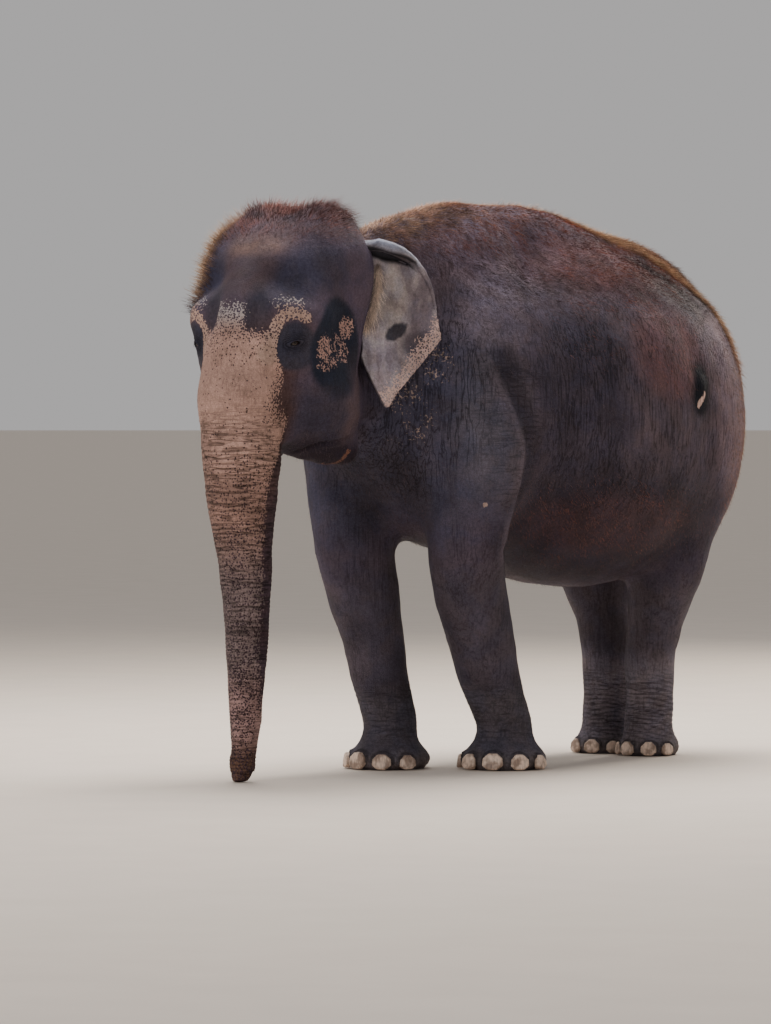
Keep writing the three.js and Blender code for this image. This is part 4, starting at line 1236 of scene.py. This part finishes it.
# %% [markdown]
# A tuft grows from rings of three points. The first ring lies 3 mm under the hide, and the last point is
# the tip. Its direction lies between the lie of the coat and the hide's normal, by its lift. On its way it
# turns towards the lie, or hangs.


# %% Growing tufts
ROOT_DEPTH = 0.003
TAPER = 0.45
FLATNESS = 0.6


def unit(vectors):
    return vectors / np.maximum(np.linalg.norm(vectors, axis=1), 1e-9)[:, None]


def grow_tufts(name, ground, lie, length, width, lift, tones, hang=0.25, rings=2, scatter=0.16):
    roots, normals, unwrap = ground
    count = len(roots)
    lie = unit(lie - (lie * normals).sum(axis=1)[:, None] * normals)
    lie = unit(lie + scatter * rng.normal(size=(count, 3)))
    lift = np.radians(np.clip(lift, 3, 85))[:, None]
    direction = unit(lie * np.cos(lift) + normals * np.sin(lift))
    side = unit(np.cross(normals, direction) + 1e-6)
    upper = np.cross(direction, side)
    steps = np.linspace(0, 1, rings + 1)
    places = []
    for step in steps:
        along = step * length[:, None]
        sag = hang * step**2 * length[:, None] * (lie - direction)
        centre = roots - normals * ROOT_DEPTH + direction * along + sag
        if step == 1:
            places.append(centre)
            continue
        half = width[:, None] / 2 * (1 - TAPER * step)
        for turn in (0, 2 * math.pi / 3, 4 * math.pi / 3):
            places.append(centre + half * (math.cos(turn) * side + math.sin(turn) * upper * FLATNESS))
    places = np.stack(places, axis=1)
    each = places.shape[1]
    faces = []
    for ring in range(rings - 1):
        for i in range(3):
            a, b = 3 * ring + i, 3 * ring + (i + 1) % 3
            faces += [(a, b, b + 3), (a, b + 3, a + 3)]
    last = 3 * (rings - 1)
    faces += [(last + i, last + (i + 1) % 3, each - 1) for i in range(3)]
    faces.append((2, 1, 0))
    faces = np.array(faces)
    corners = (faces[None] + each * np.arange(count)[:, None, None]).reshape(-1, 3)

    mesh = bpy.data.meshes.new(name)
    mesh.vertices.add(count * each)
    mesh.vertices.foreach_set("co", places.ravel())
    mesh.loops.add(corners.size)
    mesh.loops.foreach_set("vertex_index", corners.ravel().astype(np.int32))
    mesh.polygons.add(len(corners))
    mesh.polygons.foreach_set("loop_start", np.arange(0, corners.size, 3, dtype=np.int32))
    mesh.update()

    spots = np.zeros((each, 2))
    for index in range(each - 1):
        ring, i = divmod(index, 3)
        spots[index] = (PATCH * i / 2, PATCH * (ring + 0.5 * (i == 1)) / (rings + 1))
    spots[each - 1] = (PATCH / 2, PATCH)
    patch = unwrap[:, None, :] + spots[None]
    layer = mesh.uv_layers.new(name=UNWRAP)
    layer.data.foreach_set("uv", patch.reshape(-1, 2)[corners.ravel()].astype(np.float32).ravel())
    root_tone, tip_tone = tones
    share = np.append(np.repeat(steps[:-1], 3), 1.0)[None, :, None]
    colour = root_tone[:, None, :] * (1 - share) + tip_tone[:, None, :] * share
    piece = bpy.data.objects.new(name, mesh)
    bpy.context.collection.objects.link(piece)
    keep_numbers(piece, "hair_tone", colour.reshape(-1, 3))
    wear(piece, hair)
    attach(piece, "root")
    report(piece)
    return piece


def patchy(points, size, seed):
    return np.clip(0.5 + 1.1 * ripple(points, size, seed), 0, 1)


RUSSET_PLACES = [
    # centre on (distance from the middle, y, z), radii, strength
    ((0.34, 0.40, 2.15), (0.25, 0.35, 0.16), 0.9),
    ((0.32, 0.80, 2.14), (0.25, 0.30, 0.16), 0.9),
    ((0.54, 0.35, 1.85), (0.20, 0.45, 0.16), 0.7),
    ((0.60, 0.62, 1.76), (0.20, 0.28, 0.22), 0.9),
    ((0.45, 0.35, 1.02), (0.30, 0.55, 0.20), 1.0),
    ((0.20, 0.30, 2.30), (0.35, 0.90, 0.16), 0.8),
    ((0.40, 1.35, 1.30), (0.40, 0.35, 0.70), 0.5),
]

# %% [markdown]
# The hair is painted golden at the nape, on the hindmost rump, on the far side of her crown, and where her
# back turns over to the far side: that line is given as a distance from the middle for each y. The gold is
# painted rim light, as if lit from behind her. On the hip the coat is worn down to short dark hair.

# %% Tones of the coat
SKYLINE_Y = [0.35, 0.56, 0.74, 0.92, 1.07, 1.18, 1.25]
SKYLINE_X = [0.02, 0.07, 0.15, 0.20, 0.32, 0.46, 0.50]
NAPE_LINE = [(0.0, -0.76, 2.24), (0.02, -0.40, 2.31), (0.03, -0.22, 2.35)]
WORN_LINE = [(0.28, 0.74, 2.18), (0.37, 0.88, 2.08), (0.46, 0.97, 1.93)]


def beyond_skyline(points):
    x, y, z = points.T
    beyond = np.interp(y, SKYLINE_Y, SKYLINE_X) - x
    share = ramp(beyond, -0.06, 0.01) * (1 - 0.65 * ramp(beyond, 0.04, 0.26)) * (1 - ramp(-x, 0.0, 0.45))
    return share * ramp(y, 0.05, 0.40) * ramp(z, 1.60, 1.85)


def tones_at(points):
    """Root and tip tones: dark brown hair, russet in places, and golden where rim light is painted on."""
    _, y, z = points.T
    body = mirrored(points)
    russet = [share * oval(body, centre, radii, 0.2) for centre, radii, share in RUSSET_PLACES]
    russet = np.clip(np.max(russet, axis=0) * (0.35 + 1.2 * patchy(points, 0.11, 21)), 0, 1)
    on_crown = ramp(-y, 0.85, 0.95) * ramp(z, 2.08, 2.25)
    russet = np.maximum(russet, 0.55 * on_crown * patchy(points, 0.08, 22))
    far_side = ramp(-in_head(points)[:, 0], 0.15, 0.26) * ramp(-y, 0.85, 0.95) * ramp(z, 1.9, 2.0)
    rim_light_patches = 0.35 + 0.65 * patchy(points, 0.12, 24)
    ridge = (0.40 + 0.60 * rim_light_patches) * beyond_skyline(points)
    nape = 0.6 * rim_light_patches * near_line(points, NAPE_LINE + [(0.03, 0.10, 2.36)], 0.03, 0.22)
    hindmost = ramp(y + 0.5 * body[:, 0], 1.32, 1.64)
    # Painted rim light: golden hair along her far edges, at the nape and on the rump, as if lit from
    # behind.
    painted_rim_light = np.maximum.reduce([0.9 * far_side, ridge, nape, 0.6 * hindmost])
    frosted = 0.7 * oval(body, (0.42, 0.20, 2.16), (0.22, 0.35, 0.14), 0.1) * patchy(points, 0.09, 23)
    worn = 0.85 * near_line(body, WORN_LINE, 0.03, 0.08)
    root = toned(even_tone("#2a2126", points), ("#40282a", russet), ("#7a5c48", painted_rim_light), ("#1d181b", worn))
    tip = toned(even_tone("#5d4a4e", points), ("#a9624b", russet), ("#dbb48f", painted_rim_light),
                ("#9a8b90", frosted * (1 - painted_rim_light)), ("#3d3437", worn))
    clumps = 0.62 + 0.76 * patchy(points, 0.045, 25)
    lighter = clumps[:, None] * np.exp(0.28 * rng.normal(size=(len(points), 1)))
    return root * lighter, np.minimum(tip * lighter, 0.9)


def about(count, low, high):
    return rng.uniform(low, high, count)


# %% [markdown]
# The lie of the coat: backwards and down over the body, straight down on the legs and the face, and up and
# outwards on the crown.

# %% Lie and density
def body_lie(points):
    lie = np.tile((0.0, 0.62, -0.78), (len(points), 1))
    lie[:, 0] += 0.5 * np.clip(points[:, 0] / 0.2, -1, 1) * ramp(points[:, 2], 1.9, 2.2)
    return lie


def leg_lie(points):
    return np.tile((0.0, 0.15, -1.0), (len(points), 1))


def crown_lie(points):
    across, ahead, _ = in_head(points).T
    lie = np.outer(across * 1.4 + 0.05, np.array(to_left)) + np.outer(ahead + 0.02, np.array(to_front))
    lie[:, 2] += 0.10
    return lie


def face_lie(points):
    lie = np.tile((0.0, 0.0, -1.0), (len(points), 1))
    return lie + 0.25 * np.outer(np.sign(in_head(points)[:, 0]), np.array(to_left))


at = points_of(hide)
normals = normals_of(hide)
x, y, z = at.T
right_of_face = -in_head(at)[:, 0]
trunk_share = ramp(-y, 1.33, 1.40) * ramp(-z, -1.75, -1.55)
off_trunk = 1 - trunk_share
on_body = ramp(y, -0.85, -0.60)
on_face = ramp(-y, 0.85, 1.00)
upward = ramp(normals[:, 2], 0.10, 0.75)
back_share = on_body * ramp(z, 1.84, 2.12) * (0.35 + upward)
crown_share = on_face * ramp(z, 2.12, 2.28) * (0.35 + upward)
side_share = on_body * ramp(z, 0.85, 1.10) * (1.2 - upward)
rump_share = ramp(y, 1.05, 1.45) * ramp(z, 0.95, 1.2)
low_share = ramp(-z, -1.25, -1.05) * ramp(z, 0.04, 0.12) * ramp(y, -0.95, -0.80)
belly_share = on_body * ramp(-normals[:, 2], 0.2, 0.6) * ramp(z, 0.70, 0.80)
fringe_share = np.maximum(on_face * ramp(z, 1.85, 2.0) * ramp(right_of_face, 0.16, 0.26),
                          on_face * ramp(z, 2.24, 2.32))
face_share = on_face * ramp(z, 1.25, 1.35) * off_trunk * (0.35 + 0.9 * ramp(z, 1.90, 2.10))
jaw_share = on_face * ramp(-z, -1.50, -1.38) * off_trunk * ramp(z, 1.2, 1.25)

# The callus on her hip is all but bare, and the lids and soles quite bare.
haired = (z > 0.02) & ~on_lids
haired = haired * (1 - 0.9 * hip)


# %% The coat's pieces
def coat(name, density, count, lie_of, length, width, lift, rings):
    ground = draw_roots(soil, density * haired, count)
    sizes = about(count, *length) * np.clip(1 + 0.2 * rng.normal(size=count), 0.4, 1.6)
    lifts = lift[0] + lift[1] * rng.normal(size=count)
    return grow_tufts(name, ground, lie_of(ground[0]), sizes, about(count, *width), lifts,
                      tones_at(ground[0]), rings=rings)


COAT = []
for side, here in (("left", x > 0), ("right", x <= 0)):
    COAT += [
        (f"coat_back_{side}", back_share * here, 46000, body_lie, (0.026, 0.042), (0.0014, 0.0024),
         (11, 6), 1),
        (f"coat_side_{side}", side_share * here, 41000, body_lie, (0.015, 0.028), (0.0012, 0.0020),
         (8, 4), 1),
    ]
COAT += [
    # name, density, tufts, lie, range of length, range of width, lift and its spread in degrees, rings
    ("coat_rump", rump_share, 37000, body_lie, (0.018, 0.032), (0.0012, 0.0020), (18, 9), 1),
    ("coat_belly", belly_share, 14000, body_lie, (0.014, 0.026), (0.0012, 0.0018), (26, 12), 1),
    ("coat_legs", low_share, 20000, leg_lie, (0.007, 0.013), (0.0010, 0.0015), (12, 7), 1),
    ("coat_nape", near_line(at, NAPE_LINE, 0.05, 0.16), 5000, body_lie, (0.026, 0.044), (0.0012, 0.0019),
     (24, 10), 2),
    ("coat_mane", beyond_skyline(at), 15000, body_lie, (0.030, 0.052), (0.0012, 0.0019), (38, 12), 2),
    ("coat_crown", crown_share, 13000, crown_lie, (0.016, 0.038), (0.0009, 0.0014), (40, 16), 1),
    ("coat_fringe", fringe_share, 7500, crown_lie, (0.040, 0.078), (0.0010, 0.0015), (54, 16), 2),
    ("coat_face", face_share * (1 - 0.8 * np.minimum(bare, 1)), 24000, face_lie, (0.008, 0.018),
     (0.0008, 0.0013), (12, 8), 1),
    ("coat_jaw", jaw_share, 2500, face_lie, (0.014, 0.026), (0.0009, 0.0013), (30, 14), 2),
    ("coat_trunk", trunk_share * (z > 0.03), 5000, face_lie, (0.006, 0.014), (0.0008, 0.0012), (38, 14), 1),
]
for settings in COAT:
    coat(*settings)

# %% [markdown]
# Three places have hair of their own kind: a tassel of straw-coloured hair at the front of each ear, wiry
# lashes on the upper lids, and the flat brush of black bristles at the end of the tail.


# %% Ear tassels, lashes and tail brush
soil_tree = BVHTree.FromPolygons(soil["places"].reshape(-1, 3).tolist(),
                                 np.arange(len(soil["places"]) * 3).reshape(-1, 3).tolist())


def near_unwrap(place):
    index = soil_tree.find_nearest(Vector(place))[2]
    return np.clip(soil["unwrap"][index].mean(axis=0), 0, LAST_PATCH)


def lone_tufts(name, roots, normals, lie, length, width, lift, ends, **settings):
    """Tufts on roots of their own, with the tones of their two ends."""
    count = len(roots)
    sizes, widths = about(count, *length), about(count, *width)
    lifts = lift[0] + lift[1] * rng.normal(size=count)
    spots = np.array([near_unwrap(place) for place in roots])
    tones = [even_tone(colour, roots) * np.exp(0.30 * rng.normal(size=(count, 1))) for colour in ends]
    lie = np.broadcast_to(lie, (count, 3))
    return grow_tufts(name, (roots, normals, spots), lie, sizes, widths, lifts, tones, **settings)


TASSEL_LINE = stations((0.098, 0.575), (0.102, 0.515), (0.094, 0.455), (0.073, 0.390), (0.055, 0.340))
TASSEL_TUFTS = 1300
roots, normals = [], []
for side, ear in ears.items():
    at = points_of(ear)
    front, _ = off_line(on_chart(at, side), TASSEL_LINE)
    picked = rng.choice(np.flatnonzero((front < 0.015) & (outwardness(ear, side) > 0.2)), TASSEL_TUFTS)
    roots.append(at[picked] + 0.002 * rng.normal(size=(TASSEL_TUFTS, 3)))
    normals.append(normals_of(ear)[picked])
lone_tufts("coat_ear_tassels", np.concatenate(roots), np.concatenate(normals), (0.0, -0.28, -1.0),
           (0.022, 0.082), (0.0013, 0.0022), (20, 14), ("#86726a", "#f6e4d6"), hang=0.4, scatter=0.30)

LASHES = 34
roots, normals, lies = [], [], []
for side in SIDES:
    out, slit, upper = eye_axes(side)
    for share in np.linspace(-0.85, 0.85, LASHES):
        along = OPENING["half_length"] * share
        above = OPENING["upper"] * (1 - share**2) ** 0.7 + 0.003
        depth = EYE_RADIUS + 0.0045 - along**2 / (2 * EYE_RADIUS)
        roots.append(np.array(eye_at[side]) + along * slit + above * upper + depth * out)
        normals.append(out)
        lies.append(out + 0.5 * share * slit - 0.9 * upper)
lone_tufts("eyelashes", np.array(roots), np.array(normals), np.array(lies), (0.022, 0.034),
           (0.0008, 0.0011), (42, 5), ("#17120f", "#2b2320"), hang=0.5, rings=3)

BRUSH_TUFTS = 900
tail_end = middle_of("tail_tuft")
tail_end.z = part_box("tail_tuft")[1].z
at = points_of(hide)
end_points = np.flatnonzero(np.linalg.norm(at - np.array(tail_end), axis=1) < 0.09)
picked = rng.choice(end_points, BRUSH_TUFTS)
roots = at[picked] + 0.002 * rng.normal(size=(BRUSH_TUFTS, 3))
brush = lone_tufts("coat_tail_brush", roots, normals_of(hide)[picked], (0.0, -0.18, -1.0), (0.12, 0.22),
                   (0.0014, 0.0022), (12, 6), ("#1d1918", "#332b29"), hang=0.3, rings=4, scatter=0.09)
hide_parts("tail_tuft")

# %% Hand over the hide
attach(hide, "root")
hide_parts(*FLESH)
report(hide)

# %% [markdown]
# ## Camera, light and floor
#
# The camera stands 24 m away at the height of her flank and looks level, as a long lens sees her. A wide
# soft light hangs above her, a warmer one stands behind, and a weaker one fills from the front. The floor
# is plain and pale.

# %% Camera
IMAGE_HEIGHT = 1024
FOCAL_LENGTH = 5616
HORIZON_ROW = 421.5
SENSOR = 36
CAMERA_AT = (14.297, -18.890, 1.45)
CAMERA_TURN = math.radians(38)
bpy.ops.object.select_all(action="DESELECT")
bpy.ops.object.camera_add(location=CAMERA_AT, rotation=(math.radians(90), 0, CAMERA_TURN))
camera = bpy.context.active_object
camera.data.sensor_width = SENSOR
camera.data.lens = SENSOR * (FOCAL_LENGTH / IMAGE_HEIGHT)
camera.data.shift_y = (HORIZON_ROW - IMAGE_HEIGHT / 2) / IMAGE_HEIGHT
camera.data.clip_end = 3000
bpy.context.scene.camera = camera

# %% Floor
bpy.ops.mesh.primitive_circle_add(vertices=96, radius=900, fill_type="NGON", location=(0, 0, -0.0005))
floor = bpy.context.active_object
floor.name = "floor"
bpy.ops.object.transform_apply(location=True)
ground = Finish("floor", 0.85)
grain = ground.noise(ground.place(), 3.0, 6.0)
ground.feed(ground.shader, {"Base Color": ground.mixed(grain, opaque("#e4d8cb"), opaque("#d8ccbf"))})
floor.data.materials.append(ground.material)

# %% Lights
def soft_light(name, place, target, size, power, colour):
    bpy.ops.object.light_add(type="AREA", location=place)
    light = bpy.context.active_object
    light.name = name
    light.rotation_euler = (Vector(target) - Vector(place)).to_track_quat("-Z", "Y").to_euler()
    light.data.shape = "DISK"
    light.data.size = size
    light.data.energy = power
    light.data.color = colour


soft_light("overhead", (-1.2, 1.8, 8.0), (0, 0, 1.2), 6.0, 1150, (1.0, 0.95, 0.91))
soft_light("rim", (-1.5, 11.0, 5.5), (0, 0.6, 1.6), 3.0, 620, (1.0, 0.90, 0.78))
soft_light("front", (-1.0, -13.0, 5.0), (0, -1.0, 1.3), 6.0, 420, (1.0, 0.97, 0.97))

world = bpy.data.worlds.new("studio")
bpy.context.scene.world = world
world.use_nodes = True
world.node_tree.nodes["Background"].inputs["Color"].default_value = (0.92, 0.90, 0.90, 1)
world.node_tree.nodes["Background"].inputs["Strength"].default_value = 0.5
